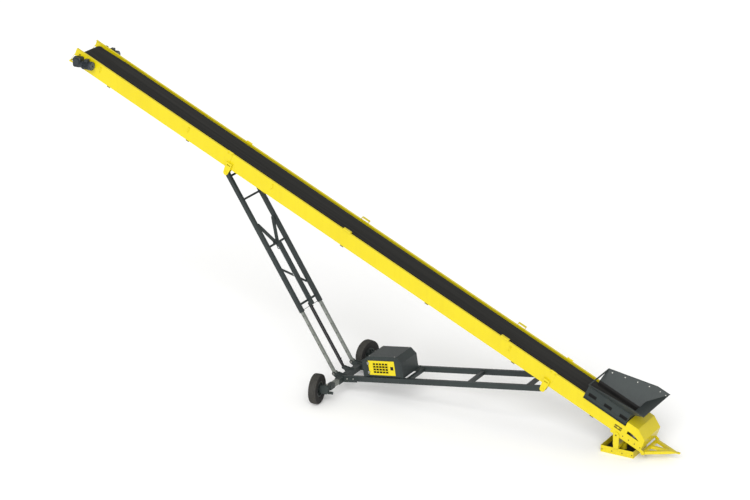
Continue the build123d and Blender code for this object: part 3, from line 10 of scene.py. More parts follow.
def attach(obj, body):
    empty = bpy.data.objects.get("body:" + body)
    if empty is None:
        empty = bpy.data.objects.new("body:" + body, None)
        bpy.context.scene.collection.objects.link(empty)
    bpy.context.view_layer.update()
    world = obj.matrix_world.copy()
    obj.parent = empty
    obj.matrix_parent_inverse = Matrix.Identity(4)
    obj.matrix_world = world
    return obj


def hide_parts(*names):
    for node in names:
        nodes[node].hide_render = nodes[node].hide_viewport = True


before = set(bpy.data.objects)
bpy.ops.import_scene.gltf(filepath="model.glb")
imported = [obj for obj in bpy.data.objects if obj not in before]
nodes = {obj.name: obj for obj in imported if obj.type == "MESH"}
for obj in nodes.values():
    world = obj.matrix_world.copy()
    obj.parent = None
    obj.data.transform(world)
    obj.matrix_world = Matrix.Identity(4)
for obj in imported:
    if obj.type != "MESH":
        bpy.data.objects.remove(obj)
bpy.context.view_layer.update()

# Studio
# A plain pale floor under a soft overcast sky, one wide soft sun from behind the viewer and a little
# to the left, and a long lens from the photograph's place. The discharge head is to the left.
view_azimuth = math.radians(29.56)
view_elevation = math.radians(20.64)
view_distance = 75.666
view_target = Vector((-7.717, 0.0, 4.307))
focal_share = 2727.1 / 750
sensor_width = 36.0
floor_side = 900.0
sky_strength = 0.64
sun_strength = 3.3
sun_spread = math.radians(50)
sun_from = Vector((0.34, -0.84, 0.48))
object_place_output = 3

view_back = Vector((math.sin(view_azimuth) * math.cos(view_elevation),
                    -math.cos(view_azimuth) * math.cos(view_elevation),
                    math.sin(view_elevation)))
camera = bpy.data.objects.new("camera", bpy.data.cameras.new("camera"))
camera.location = view_target + view_back * view_distance
camera.rotation_mode = "QUATERNION"
camera.rotation_quaternion = (-view_back).to_track_quat("-Z", "Y")
camera.data.sensor_width = sensor_width
camera.data.lens = sensor_width * focal_share
camera.data.clip_end = floor_side
bpy.context.scene.collection.objects.link(camera)
bpy.context.scene.camera = camera

sun = bpy.data.objects.new("sun", bpy.data.lights.new("sun", "SUN"))
sun.data.energy = sun_strength
sun.data.angle = sun_spread
sun.rotation_mode = "QUATERNION"
sun.rotation_quaternion = sun_from.to_track_quat("Z", "Y")
bpy.context.scene.collection.objects.link(sun)

sky = bpy.data.worlds.new("sky")
sky.use_nodes = True
sky.node_tree.nodes["Background"].inputs["Color"].default_value = (1.0, 1.0, 1.0, 1.0)
sky.node_tree.nodes["Background"].inputs["Strength"].default_value = sky_strength
bpy.context.scene.world = sky
bpy.context.scene.view_settings.view_transform = "Standard"


class Signal:
    """A socket in a finish, with the signs of arithmetic and one way to add any other node."""

    def __init__(self, tree, socket=None):
        self.tree = tree
        self.socket = socket

    def node(self, kind, settings=None, sockets=None, output=0):
        made = self.tree.nodes.new(kind)
        for name, value in (settings or {}).items():
            setattr(made, name, value)
        for name, value in (sockets or {}).items():
            if isinstance(value, Signal):
                self.tree.links.new(value.socket, made.inputs[name])
            else:
                made.inputs[name].default_value = value
        return Signal(self.tree, made.outputs[output])

    def maths(self, operation, *values):
        return self.node("ShaderNodeMath", {"operation": operation}, dict(enumerate(values)))

    def __add__(self, other):
        return self.maths("ADD", self, other)

    def __sub__(self, other):
        return self.maths("SUBTRACT", self, other)

    def __rsub__(self, other):
        return self.maths("SUBTRACT", other, self)

    def __mul__(self, other):
        return self.maths("MULTIPLY", self, other)

    def steps(self, *stops):
        """This value through a ramp of two stops, each a place and a level."""
        made = self.tree.nodes.new("ShaderNodeValToRGB")
        for element, (place, level) in zip(made.color_ramp.elements, stops):
            element.position = place
            element.color = (level, level, level, 1.0)
        self.tree.links.new(self.socket, made.inputs[0])
        return Signal(self.tree, made.outputs[0])

    def blend(self, first, second):
        """A colour between two, by this value, through the mix node's own colour sockets."""
        return self.node("ShaderNodeMix", {"data_type": "RGBA"}, {0: self, 6: first, 7: second}, output=2)


def rgb(red, green, blue):
    """A colour from its display values, by the standard display curve."""
    return tuple(((level / 255 + 0.055) / 1.055) ** 2.4 if level > 10 else level / 255 / 12.92
                 for level in (red, green, blue)) + (1.0,)


def new_finish(name):
    """A new finish, its first signal and the place on the piece in metres."""
    made = bpy.data.materials.new(name)
    made.use_nodes = True
    made.node_tree.nodes.clear()
    start = Signal(made.node_tree)
    return made, start, start.node("ShaderNodeTexCoord", output=object_place_output)


def close_finish(made, start, sockets):
    """The surface of a finish and its output."""
    shader = start.node("ShaderNodeBsdfPrincipled", {}, sockets)
    result = made.node_tree.nodes.new("ShaderNodeOutputMaterial")
    made.node_tree.links.new(shader.socket, result.inputs["Surface"])
    return made


def noise(place, scale, detail=2.0, roughness=0.5):
    return place.node("ShaderNodeTexNoise", {}, {"Vector": place, "Scale": scale, "Detail": detail,
                                                 "Roughness": roughness})


floor_mesh = bmesh.new()
bmesh.ops.create_grid(floor_mesh, x_segments=1, y_segments=1, size=floor_side / 2)
floor = bpy.data.objects.new("floor", bpy.data.meshes.new("floor"))
floor_mesh.to_mesh(floor.data)
floor_mesh.free()
bpy.context.scene.collection.objects.link(floor)
floor_finish, start, place = new_finish("pale_floor")
floor_tone = noise(place, 0.05).blend(rgb(253, 253, 252), rgb(251, 251, 250))
floor.data.materials.append(close_finish(floor_finish, start, {"Base Color": floor_tone, "Roughness": 0.95}))


# Boom, hood and foot in yellow enamel
# Folded and welded steel sheet and plate, sprayed in one coat of glossy yellow. Rain has drawn faint
# streaks down it, dust lies on the upper faces, and the low parts are soiled from the ground.
face_normal_output = 1


def bump(height, strength, distance):
    return height.node("ShaderNodeBump", {}, {"Strength": strength, "Distance": distance, "Height": height})


def part_of(place, axis):
    """One of the three numbers of a place: 0 for X, 1 for Y, 2 for Z."""
    return place.node("ShaderNodeSeparateXYZ", {}, {"Vector": place}, output=axis)


def stretched(place, *scale):
    return place.node("ShaderNodeMapping", {}, {"Vector": place, "Scale": scale})


def enamel(name, colour, faded, dust_tone, gloss, dust_share, coat, shine):
    """Sprayed enamel: drift of tone, rain streaks, dust above and below, chips and orange peel."""
    made, start, place = new_finish(name)
    facing_up = part_of(start.node("ShaderNodeTexCoord", output=face_normal_output), 2)
    drift = noise(place, 0.9, 3.0)
    fine = noise(place, 28.0, 4.0, 0.65)
    streaks = noise(stretched(place, 11.0, 11.0, 0.9), 1.0, 3.0, 0.6)
    fade = (drift * 0.55 + streaks * 0.45).steps((0.4, 0.0), (0.64, 1.0))
    near_ground = part_of(place, 2).steps((0.0, 1.0), (0.9, 0.0))
    lying = facing_up.steps((0.6, 0.0), (0.95, 1.0))
    dust = (near_ground * 0.7 + lying * 0.5) * fine.steps((0.42, 0.0), (0.66, 1.0)) * dust_share
    chips = noise(place, 75.0, 2.0, 0.4).steps((0.73, 0.0), (0.75, 1.0))
    tone = chips.blend(dust.blend(fade.blend(colour, faded), dust_tone), dust_tone)
    return close_finish(made, start, {
        "Base Color": tone, "Roughness": dust * 0.4 + fine * 0.12 + gloss, "Coat Weight": coat,
        "Coat Roughness": 0.1, "Specular IOR Level": shine,
        "Normal": bump(noise(place, 240.0, 1.0) + chips * -0.6, 0.12, 0.0006)})


def dress(finish, *names):
    """Give these nodes of the frame one finish."""
    for name in names:
        slots = nodes[name].data.materials
        slots.clear()
        slots.append(finish)


yellow_enamel = enamel("yellow_enamel", rgb(201, 184, 9), rgb(197, 179, 7), rgb(144, 132, 66),
                       gloss=0.27, dust_share=0.5, coat=0.15, shine=0.35)
dress(yellow_enamel, "side_channel_right", "side_channel_left", "tail_cheek_right", "tail_cheek_left",
      "tail_hood", "drawbar", "head_guard", "arm_bracket_right", "arm_bracket_left", "leg_bracket_right",
      "leg_bracket_left", "lifting_saddles", "side_clips", "foot_yoke", "foot_tray", "power_pack_door")
# Dark olive enamel with some dust. Its darkness is painted shade: the yellow as it looks in shadow under the
# channels and inside the tail windows.
painted_shade_enamel = enamel("painted_shade_enamel", rgb(92, 82, 14), rgb(78, 70, 14), rgb(66, 60, 44),
                       gloss=0.5, dust_share=0.8, coat=0.0, shine=0.3)
# The return roller brackets get painted shade in place of the shadow under the channels.
dress(painted_shade_enamel, "return_roller_brackets")


# Bolts of the boom
# Hexagon bolts on washers, sprayed over with the boom: two through each bracket strap, one at the
# foot of each side clip, three at the tail joint and small screws round the hood.
boom_lean = math.radians(24.04)
boom_foot = Vector((0.0, 0.0, 0.625))
boom = Matrix.Translation(boom_foot) @ Matrix.Rotation(boom_lean, 4, "Y")
arm_pin_reach = 2.370
leg_pin_reach = 13.350
strap_middles = ((arm_pin_reach, 0.062), (leg_pin_reach, -0.112))
strap_bolt_shift = 0.060
strap_bolt_rise = 0.479
strap_face = 0.527
clip_reaches = (3.700, 11.908, 14.923, 18.168)
clip_bolt_rise = 0.272
clip_face = 0.513
tail_joint_x = -0.172
tail_joint_rises = (0.02, 0.085, 0.225)
tail_joint_face = 0.515
hood_face = 0.519
hood_screw_places = [(0.14, 0.25), (0.14, 0.5), (0.3, 0.51), (0.44, 0.51), (0.56, 0.455), (0.66, 0.39),
                     (0.735, 0.29)]


def hex_bolts(mesh, places, out, across, height):
    """Hexagon heads with a chamfered top on round washers, each standing out from its place."""
    washer = (12, across * 0.66, 0.0, 0.2)
    head = (6, across / math.sqrt(3), 0.2, 0.9)
    turn = Vector((0, 0, 1)).rotation_difference(Vector(out)).to_matrix().to_4x4()
    for place in places:
        seat = Matrix.Translation(place) @ turn
        for segments, radius, low, high in (washer, head):
            lift = Matrix.Translation((0, 0, height * (low + high) / 2))
            made = bmesh.ops.create_cone(mesh, cap_ends=True, segments=segments, radius1=radius,
                                         radius2=radius, depth=height * (high - low), matrix=seat @ lift)
        faces = {face for vert in made["verts"] for face in vert.link_faces}
        top = max(faces, key=lambda face: (face.calc_center_median() - Vector(place)).dot(Vector(out)))
        top.normal_update()
        bmesh.ops.inset_region(mesh, faces=[top], thickness=across * 0.07, depth=height * 0.1)


def piece_from(mesh, name, finish):
    """A piece at the origin with this mesh and one finish."""
    bmesh.ops.recalc_face_normals(mesh, faces=mesh.faces)
    made = bpy.data.objects.new(name, bpy.data.meshes.new(name))
    mesh.to_mesh(made.data)
    mesh.free()
    made.data.materials.append(finish)
    bpy.context.scene.collection.objects.link(made)
    return made


boom_bolts = bmesh.new()
hood_screws = bmesh.new()
for way in (-1, 1):
    out = (0, way, 0)
    strap_places = [-reach + shift for reach, middle in strap_middles
                    for shift in (middle - strap_bolt_shift, middle + strap_bolt_shift)]
    hex_bolts(boom_bolts, [(x, way * strap_face, strap_bolt_rise) for x in strap_places], out, 0.036, 0.014)
    hex_bolts(boom_bolts, [(-reach, way * clip_face, clip_bolt_rise) for reach in clip_reaches], out,
              0.026, 0.012)
    hex_bolts(boom_bolts, [(tail_joint_x, way * tail_joint_face, z) for z in tail_joint_rises], out,
              0.028, 0.013)
    hex_bolts(hood_screws, [(x, way * hood_face, z) for x, z in hood_screw_places], out, 0.017, 0.007)
for mesh, name in ((boom_bolts, "boom_bolts"), (hood_screws, "hood_screws")):
    bmesh.ops.transform(mesh, matrix=boom, verts=mesh.verts)
    fitted = piece_from(mesh, name, yellow_enamel)
    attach(fitted, "boom")


# Hood grilles
# A panel of crossed black wires behind the bowed opening in each side of the hood. It keeps hands off
# the tail pulley and is spot-welded to the inner face of the cheek.
wire_radius = 0.0022
grille_pitch = 0.030
cheek_inner = 0.507
upright_first = 0.222
upright_count = 14
upright_low = 0.205
upright_high = 0.308
level_first = 0.212
level_count = 4
level_front = 0.215
level_back = 0.625


def wire_rods(mesh, ends, radius):
    """Round rods between pairs of places."""
    for start_place, end_place in ends:
        run = Vector(end_place) - Vector(start_place)
        middle = (Vector(start_place) + Vector(end_place)) / 2
        turn = Vector((0, 0, 1)).rotation_difference(run).to_matrix().to_4x4()
        bmesh.ops.create_cone(mesh, cap_ends=True, segments=6, radius1=radius, radius2=radius,
                              depth=run.length, matrix=Matrix.Translation(middle) @ turn)


black_enamel = enamel("black_enamel", rgb(18, 19, 20), rgb(13, 14, 15), rgb(60, 56, 50),
                      gloss=0.3, dust_share=0.3, coat=0.0, shine=0.3)
grilles = bmesh.new()
for way in (-1, 1):
    upright_line = way * (cheek_inner - wire_radius)
    level_line = way * (cheek_inner - 3 * wire_radius)
    uprights = [upright_first + grille_pitch * step for step in range(upright_count)]
    levels = [level_first + grille_pitch * step for step in range(level_count)]
    wire_rods(grilles, [((x, upright_line, upright_low), (x, upright_line, upright_high)) for x in uprights],
              wire_radius)
    wire_rods(grilles, [((level_front, level_line, z), (level_back, level_line, z)) for z in levels],
              wire_radius)
bmesh.ops.transform(grilles, matrix=boom, verts=grilles.verts)
grille = piece_from(grilles, "hood_grilles", black_enamel)
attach(grille, "boom")


# Blackened bolts of the foot, hood and head
# Four along each side of the foot tray, one in the end of each foot hinge pin, four along the hood's
# lower edge and two over each head bearing. All are blackened steel on thick washers.
dark_height_share = 0.4
tray_seats = [(Vector((x, way * 0.442, 0.085)), way)
              for way in (-1, 1) for x in (-0.44, -0.15, 0.15, 0.44)]
hinge_seats = [(Vector((0.0, way * 0.553, boom_foot.z)), way) for way in (-1, 1)]
hood_foot_seats = [(boom @ Vector((x, way * hood_face, 0.080)), way)
                   for way in (-1, 1) for x in (0.17, 0.36, 0.55, 0.73)]
bearing_seats = [(boom @ Vector((x, way * 0.507, z)), way)
                 for way in (-1, 1) for x, z in ((-18.937, 0.391), (-18.809, 0.379))]
for name, body, across, seats in (("foot_tray_bolts", "foot_tray", 0.024, tray_seats),
                                  ("foot_hinge_bolts", "foot_yoke", 0.030, hinge_seats),
                                  ("hood_foot_bolts", "boom", 0.024, hood_foot_seats),
                                  ("head_bearing_bolts", "boom", 0.036, bearing_seats)):
    mesh = bmesh.new()
    for seat, way in seats:
        hex_bolts(mesh, [seat], (0, way, 0), across, across * dark_height_share)
    fitted = piece_from(mesh, name, black_enamel)
    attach(fitted, body)


# Tail windows
# The take-up window in each cheek looks onto the side channel's web. A thin dark sheet on the web fills the
# window's view with painted shade, so that its back reads as a shaded recess and not as lit yellow.
window_front = (-0.1655, 0.1615)
window_back = (0.0625, 0.2745)
window_sheet_faces = (0.5071, 0.5078)
window_edge = 0.0002


def thin_plate(mesh, low, high, rounding):
    """A flat plate between two corners with eased edges."""
    low, high = Vector(low), Vector(high)
    place = Matrix.Translation((low + high) / 2) @ Matrix.Diagonal((*(high - low), 1.0))
    made = bmesh.ops.create_cube(mesh, size=1.0, matrix=place)
    edges = list({edge for vert in made["verts"] for edge in vert.link_edges})
    bmesh.ops.bevel(mesh, geom=edges, offset=rounding, segments=2, profile=0.5, affect="EDGES", material=-1)


backs = bmesh.new()
for way in (-1, 1):
    inner, outer = sorted(way * face for face in window_sheet_faces)
    thin_plate(backs, (window_front[0], inner, window_front[1]), (window_back[0], outer, window_back[1]),
               window_edge)
bmesh.ops.transform(backs, matrix=boom, verts=backs.verts)
# These sheets are painted shade: dark enamel where the window's recess would fall into shadow.
window_shade_sheets = piece_from(backs, "tail_window_shade_sheets", painted_shade_enamel)
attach(window_shade_sheets, "boom")


# Belt
# One endless rubber and fabric belt, 800 mm wide, carried in a shallow trough. Its cover is scuffed
# grey along its length by the load, and its moulded edges stay darker.
belt_rubber, start, place = new_finish("belt_rubber")
on_belt = place.node("ShaderNodeMapping", {"vector_type": "TEXTURE"}, {
    "Vector": place, "Location": tuple(boom_foot), "Rotation": (0.0, boom_lean, 0.0)})
scuffs = noise(stretched(on_belt, 0.22, 13.0, 13.0), 1.0, 5.0, 0.65).steps((0.42, 0.0), (0.74, 1.0))
off_centre = on_belt.maths("ABSOLUTE", part_of(on_belt, 1))
loaded = off_centre.steps((0.18, 1.0), (0.36, 0.0))
grit = noise(place, 55.0, 3.0, 0.6)
load_dust = (scuffs * 0.7 + grit.steps((0.55, 0.0), (0.75, 1.0)) * 0.4) * (loaded * 0.7 + 0.3)
belt_tone = load_dust.blend(rgb(31, 31, 29), rgb(42, 41, 38))
close_finish(belt_rubber, start, {
    "Base Color": belt_tone, "Roughness": 0.86 - scuffs * 0.2, "Specular IOR Level": 0.2,
    "Normal": bump(noise(place, 320.0, 2.0) + scuffs * 0.5, 0.25, 0.0007)})
dress(belt_rubber, "belt")


# Rubbers, sliding pads and mat
# Moulded black rubber strips that seal the hopper onto the belt, the mat in the foot tray, and the
# hard black plastic pads in the mouths of the outer leg tubes.
def moulded(name, colour, bloom_tone, roughness, grain):
    """Moulded rubber or plastic: fine grain, a little bloom and dust in the pores."""
    made, start, place = new_finish(name)
    bloom = noise(place, 3.0, 4.0, 0.6).steps((0.3, 0.0), (0.75, 1.0))
    pores = noise(place, grain, 2.0)
    return close_finish(made, start, {
        "Base Color": bloom.blend(colour, bloom_tone), "Roughness": bloom * 0.12 + roughness,
        "Specular IOR Level": 0.25, "Normal": bump(pores, 0.25, 0.0006)})


black_rubber = moulded("black_rubber", rgb(18, 18, 18), rgb(30, 29, 27), 0.7, 300.0)
dress(black_rubber, "foot_tray_mat", "hopper_skirt_rubbers")
dress(moulded("slide_plastic", rgb(44, 44, 44), rgb(56, 56, 55), 0.5, 160.0), "outer_leg_pads")


# Pulleys, rollers and bearings
# Welded drums and drawn steel rollers, polished where the belt runs and browned elsewhere. Their
# shafts turn in cast iron housings. The engine block has the same grey iron.
def metal(name, colour, worn, roughness, metallic, spangle):
    """Zinc, turned or cast metal: cells or grain in both tone and gloss, with grime in places."""
    made, start, place = new_finish(name)
    cells = place.node("ShaderNodeTexVoronoi", {}, {"Vector": place, "Scale": spangle}, output=1)
    drift = noise(place, spangle / 5, 4.0, 0.6)
    grime = noise(place, 3.0, 5.0, 0.65).steps((0.5, 0.0), (0.72, 1.0))
    tone = (cells * 0.5 + drift * 0.6).steps((0.2, 0.0), (0.9, 1.0))
    base = (grime * 0.4).blend(tone.blend(colour, worn), rgb(96, 90, 80))
    return close_finish(made, start, {
        "Base Color": base, "Metallic": metallic - grime * 0.3,
        "Roughness": tone * 0.14 + grime * 0.2 + roughness, "Normal": bump(drift, 0.12, 0.0008)})


dress(metal("drum_steel", rgb(132, 126, 118), rgb(98, 90, 80), 0.42, 0.65, 60.0), "head_pulley",
      "tail_pulley")
dress(metal("roller_steel", rgb(84, 80, 75), rgb(60, 54, 48), 0.5, 0.5, 90.0), "trough_rollers",
      "return_rollers")
dress(metal("cast_iron", rgb(62, 65, 66), rgb(46, 49, 51), 0.58, 0.2, 240.0), "pulley_bearings",
      "engine_block")


# Geared motors
# Cast gearboxes on the head shaft with finned motors, sprayed dark blue-grey. A pressed cowl covers
# each fan; its end is a lighter ribbed disc round the hub. The terminal box has a screwed lid, and a
# ring of bolts holds the gearbox's cover.
head_shaft = boom @ Vector((-18.850, 0.0, 0.270))
motor_line = 0.6473
motor_drop = 0.088
cowl_end = 0.492
disc_profile = [(0.000, 0.106), (0.004, 0.100), (0.004, 0.088), (0.001, 0.085), (0.001, 0.076),
                (0.004, 0.073), (0.004, 0.062), (0.001, 0.059), (0.001, 0.050), (0.004, 0.047),
                (0.005, 0.032), (0.005, 0.000)]
plug_profile = [(0.005, 0.024), (0.011, 0.020), (0.012, 0.012), (0.008, 0.009), (0.008, 0.0)]
lid_reach = 0.302
lid_rise = 0.177
lid_half = Vector((0.059, 0.059, 0.006))
lid_edge = 0.004
lid_screw_shifts = (-0.045, 0.045)
case_inner = 0.5193
case_depth = 0.210
case_bolt_count = 8
case_bolt_circle = 0.113
case_back = 0.010
case_drop = 0.020


def spun(mesh, profile, segments):
    """A shape turned about the X axis from its profile of places along it and radii."""
    points = [mesh.verts.new((along, 0.0, radius)) for along, radius in profile]
    edges = [mesh.edges.new(pair) for pair in zip(points, points[1:])]
    bmesh.ops.spin(mesh, geom=points + edges, cent=(0, 0, 0), axis=(1, 0, 0), angle=2 * math.pi,
                   steps=segments, use_merge=True)
    bmesh.ops.remove_doubles(mesh, verts=mesh.verts, dist=0.00001)


motor_enamel = enamel("motor_enamel", rgb(40, 46, 51), rgb(33, 38, 42), rgb(74, 72, 66),
                      gloss=0.34, dust_share=0.4, coat=0.0, shine=0.35)
cowl_enamel = enamel("cowl_enamel", rgb(76, 83, 89), rgb(66, 73, 79), rgb(92, 90, 84),
                     gloss=0.34, dust_share=0.4, coat=0.0, shine=0.4)
dress(motor_enamel, "head_gearmotor_right", "head_gearmotor_left")
for side, way in (("right", -1), ("left", 1)):
    fan_place = head_shaft + Vector((cowl_end, way * motor_line, -motor_drop))
    disc = bmesh.new()
    spun(disc, disc_profile, 40)
    plug = bmesh.new()
    spun(plug, plug_profile, 24)
    for mesh in (disc, plug):
        bmesh.ops.translate(mesh, vec=fan_place, verts=mesh.verts)
    lid = bmesh.new()
    lid_place = head_shaft + Vector((lid_reach, way * motor_line, -motor_drop + lid_rise))
    thin_plate(lid, lid_place - lid_half, lid_place + lid_half, lid_edge)
    corners = [lid_place + Vector((x, y, lid_half.z)) for x in lid_screw_shifts for y in lid_screw_shifts]
    hex_bolts(lid, corners, (0, 0, 1), 0.012, 0.006)
    cover = bmesh.new()
    case_face = way * (case_inner + case_depth)
    for step in range(case_bolt_count):
        turn = 2 * math.pi * (step + 0.5) / case_bolt_count
        spot = head_shaft + Vector((case_bolt_circle * math.cos(turn) - case_back, 0.0,
                                    case_bolt_circle * math.sin(turn) - case_drop))
        hex_bolts(cover, [(spot.x, case_face, spot.z)], (0, way, 0), 0.020, 0.010)
    for mesh, name, finish, slot in ((disc, "fan_cowl_disc_", cowl_enamel, "motor_paint"),
                                     (plug, "fan_hub_plug_", black_enamel, "black_paint"),
                                     (lid, "terminal_box_lid_", motor_enamel, "motor_paint"),
                                     (cover, "gearbox_bolts_", motor_enamel, "motor_paint")):
        fitted = piece_from(mesh, name + side, finish)
        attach(fitted, "boom")


# Feed hopper, idler frames, arms, axle, legs, rims and power pack in slate enamel
# Folded sheet, square tube and pressed rims, sprayed in a dark slate-grey enamel. It is duller than
# the yellow, with faint streaks of tone, and dusty on its upper faces and near the ground.
slate_enamel = enamel("slate_enamel", rgb(42, 49, 48), rgb(36, 42, 42), rgb(70, 69, 63),
                      gloss=0.36, dust_share=0.35, coat=0.0, shine=0.3)
dress(slate_enamel, "feed_hopper", "trough_idler_frames", "arm_right", "arm_left", "arm_cross_members",
      "axle_beam", "kingpin_carriers", "knuckle_right", "knuckle_left", "leg_foot_plates_right",
      "leg_foot_plates_left", "outer_leg_tube_right", "outer_leg_tube_left", "outer_leg_braces",
      "lift_cylinder_lug", "rim_right", "rim_left", "hub_right", "hub_left", "power_pack_housing")


# Hopper window shade sheets and rim bolts
# A near-black sheet hangs behind each window of the hopper's skirts as painted shade, so the windows read
# dark, and zinc-plated bolts along the rim hold the wings' stiffening lip.
flap_reaches = (1.062, 0.560, 0.058)
flap_half = 0.135
flap_low = 0.512
flap_high = 0.634
flap_faces = (0.4985, 0.5005)
flap_edge = 0.0008
wing_slope = 0.869
wing_foot_line = 0.507
wing_foot_rise = 0.768
wing_sheet = 0.006
rim_bolt_places = ((1.12, 0.868), (0.76, 0.935), (0.41, 1.0), (0.08, 1.062), (-0.24, 1.095), (-0.42, 1.095))

plated_steel = metal("plated_steel", rgb(176, 176, 170), rgb(136, 136, 130), 0.34, 0.8, 300.0)
# Near-black painted shade for the sheets behind the hopper windows and behind the door's slots.
painted_shade_black = moulded("painted_shade_black", rgb(6, 6, 6), rgb(13, 13, 12), 0.85, 300.0)
flaps = bmesh.new()
rim_bolts = bmesh.new()
for way in (-1, 1):
    inner, outer = sorted(way * face for face in flap_faces)
    for reach in flap_reaches:
        thin_plate(flaps, (-reach - flap_half, inner, flap_low), (-reach + flap_half, outer, flap_high),
                   flap_edge)
    wing_out = Vector((0.0, -way, wing_slope)).normalized()
    for reach, rise in rim_bolt_places:
        line = way * (wing_foot_line + wing_slope * (rise - wing_foot_rise) - wing_sheet)
        hex_bolts(rim_bolts, [Vector((-reach, line, rise))], wing_out, 0.026, 0.011)
for mesh, name, finish, slot in ((flaps, "hopper_window_shade_sheets", painted_shade_black, "black_rubber"),
                                 (rim_bolts, "hopper_rim_bolts", plated_steel, "pin_steel")):
    bmesh.ops.transform(mesh, matrix=boom, verts=mesh.verts)
    fitted = piece_from(mesh, name, finish)
    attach(fitted, "boom")


# Weld beads
# A fillet weld runs round each cross tube where it meets the arms and the legs, and is sprayed with
# the frame. Each bead is a thin round run along the joint.
axle_x = -8.480
arm_foot_height = 0.478
arm_pin = boom @ Vector((-arm_pin_reach, 0.0, -0.095))
arm_slope = math.atan2(arm_pin.z - arm_foot_height, arm_pin.x - axle_x)
arms = Matrix.Translation(arm_pin) @ Matrix.Rotation(-arm_slope, 4, "Y")
leg_pin = boom @ Vector((-leg_pin_reach, 0.0, -0.088))
leg_foot = Vector((-8.735, 0.0, 0.570))
leg_lean = math.atan2(leg_foot.x - leg_pin.x, leg_pin.z - leg_foot.z)
legs = Matrix.Translation(leg_foot) @ Matrix.Rotation(-leg_lean, 4, "Y")
bead_radius = 0.006
arm_joint_line = 0.455
arm_joint_half = 0.050
leg_joint_line = 0.440
leg_joint_half = 0.030
arm_joint_reaches = (0.5101, 2.3399, 5.5601, 4.4529)
leg_joint_heights = (2.165, 4.009, 5.532, 6.290)


def weld_ring(mesh, centre, half, place):
    """A bead round a square joint in a plane across the machine."""
    corners = [place @ Vector((centre[0] + a * half, centre[1], centre[2] + b * half))
               for a, b in ((-1, -1), (1, -1), (1, 1), (-1, 1))]
    wire_rods(mesh, list(zip(corners, corners[1:] + corners[:1])), bead_radius)


arm_beads = bmesh.new()
leg_beads = bmesh.new()
for way in (-1, 1):
    for reach in arm_joint_reaches:
        weld_ring(arm_beads, (-reach, way * arm_joint_line, 0.0), arm_joint_half, arms)
    for height in leg_joint_heights:
        weld_ring(leg_beads, (0.0, way * leg_joint_line, height), leg_joint_half, legs)
for mesh, name, body in ((arm_beads, "arm_weld_beads", "chassis"),
                         (leg_beads, "leg_weld_beads", "upper_leg")):
    fitted = piece_from(mesh, name, slate_enamel)
    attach(fitted, body)


# Inner leg tubes and axle extensions
# Hot-dip galvanised square tube with a row of stop holes. The zinc has weathered to a pale, matt
# spangle with darker drifts of tone.
zinc, start, place = new_finish("weathered_zinc")
spangle = place.node("ShaderNodeTexVoronoi", {}, {"Vector": place, "Scale": 62.0}, output=1)
drifts = noise(place, 5.0, 4.0, 0.6).steps((0.35, 0.0), (0.7, 1.0))
zinc_tone = (spangle * 0.45 + drifts * 0.55).blend(rgb(132, 136, 130), rgb(100, 103, 98))
close_finish(zinc, start, {"Base Color": zinc_tone, "Metallic": 0.35, "Roughness": drifts * 0.15 + 0.42,
                           "Normal": bump(spangle, 0.08, 0.0006)})
dress(zinc, "inner_leg_tube_right", "inner_leg_tube_left", "axle_extension_right", "axle_extension_left")


# Lift cylinder and pins
# A steel barrel sprayed black with a hard-chromed rod that slides in it, and turned steel pins at the
# feet of the legs and in the knuckles.
dress(black_enamel, "lift_cylinder_barrel")
dress(metal("chromed_rod", rgb(218, 220, 222), rgb(200, 202, 204), 0.12, 1.0, 220.0), "lift_cylinder_rod")
dress(metal("turned_steel", rgb(150, 150, 146), rgb(118, 117, 112), 0.32, 0.85, 180.0), "leg_foot_pins",
      "kingpins")


# Foot plate and kingpin bolts
# Three bolts tie each outer foot plate to the arm's end: two zinc-plated and one blackened. A
# zinc-plated bolt on top of each kingpin holds it in its carrier.
foot_plate_face = 0.568
foot_plate_places = ((-8.30, 0.505), (-8.10, 0.540))
dark_bolt_place = (-8.61, 0.47)
kingpin_line = 1.377
kingpin_top = 0.597
for side, way in (("right", -1), ("left", 1)):
    light = bmesh.new()
    hex_bolts(light, [(x, way * foot_plate_face, z) for x, z in foot_plate_places], (0, way, 0), 0.036, 0.016)
    dark = bmesh.new()
    hex_bolts(dark, [(dark_bolt_place[0], way * foot_plate_face, dark_bolt_place[1])], (0, way, 0),
              0.036, 0.016)
    cap = bmesh.new()
    hex_bolts(cap, [(axle_x, way * kingpin_line, kingpin_top)], (0, 0, 1), 0.046, 0.018)
    for mesh, name, finish, slot in ((light, "foot_plate_bolts_", plated_steel, "pin_steel"),
                                     (dark, "foot_plate_dark_bolt_", black_enamel, "black_paint"),
                                     (cap, "kingpin_bolt_", plated_steel, "pin_steel")):
        fitted = piece_from(mesh, name + side, finish)
        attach(fitted, "chassis")


# Power pack door
# Yellow sheet steel with five columns of slanted slots, laser cut with round corners. A near-black sheet
# behind it is painted shade seen through the slots, the lock sits in a black plate, and the hinges are plated
# three-knuckle barrels.
door_left = -5.433
door_right = -4.592
door_low = 0.142
door_high = 0.563
door_face = -0.520
door_sheet = 0.005
door_middle = (-5.0466, 0.3525)
slot_columns = 5
slot_rows = 4
slot_pitch = (0.098, 0.079)
slot_half = (0.0360, 0.0275)
slot_lean = 0.011
slot_corner = 0.009
slot_margin = 0.010
place_digits = 5
lines_x = [door_left, *(door_middle[0] + slot_pitch[0] * (step - slot_columns / 2)
                        for step in range(slot_columns + 1)), door_right]
lines_z = [door_low, *(door_middle[1] + slot_pitch[1] * (step - slot_rows / 2)
                       for step in range(slot_rows + 1)), door_high]


def flat_place(vert):
    """Where a corner lies on the door's face, rounded so that places can be compared."""
    return round(vert.co.x, place_digits), round(vert.co.z, place_digits)


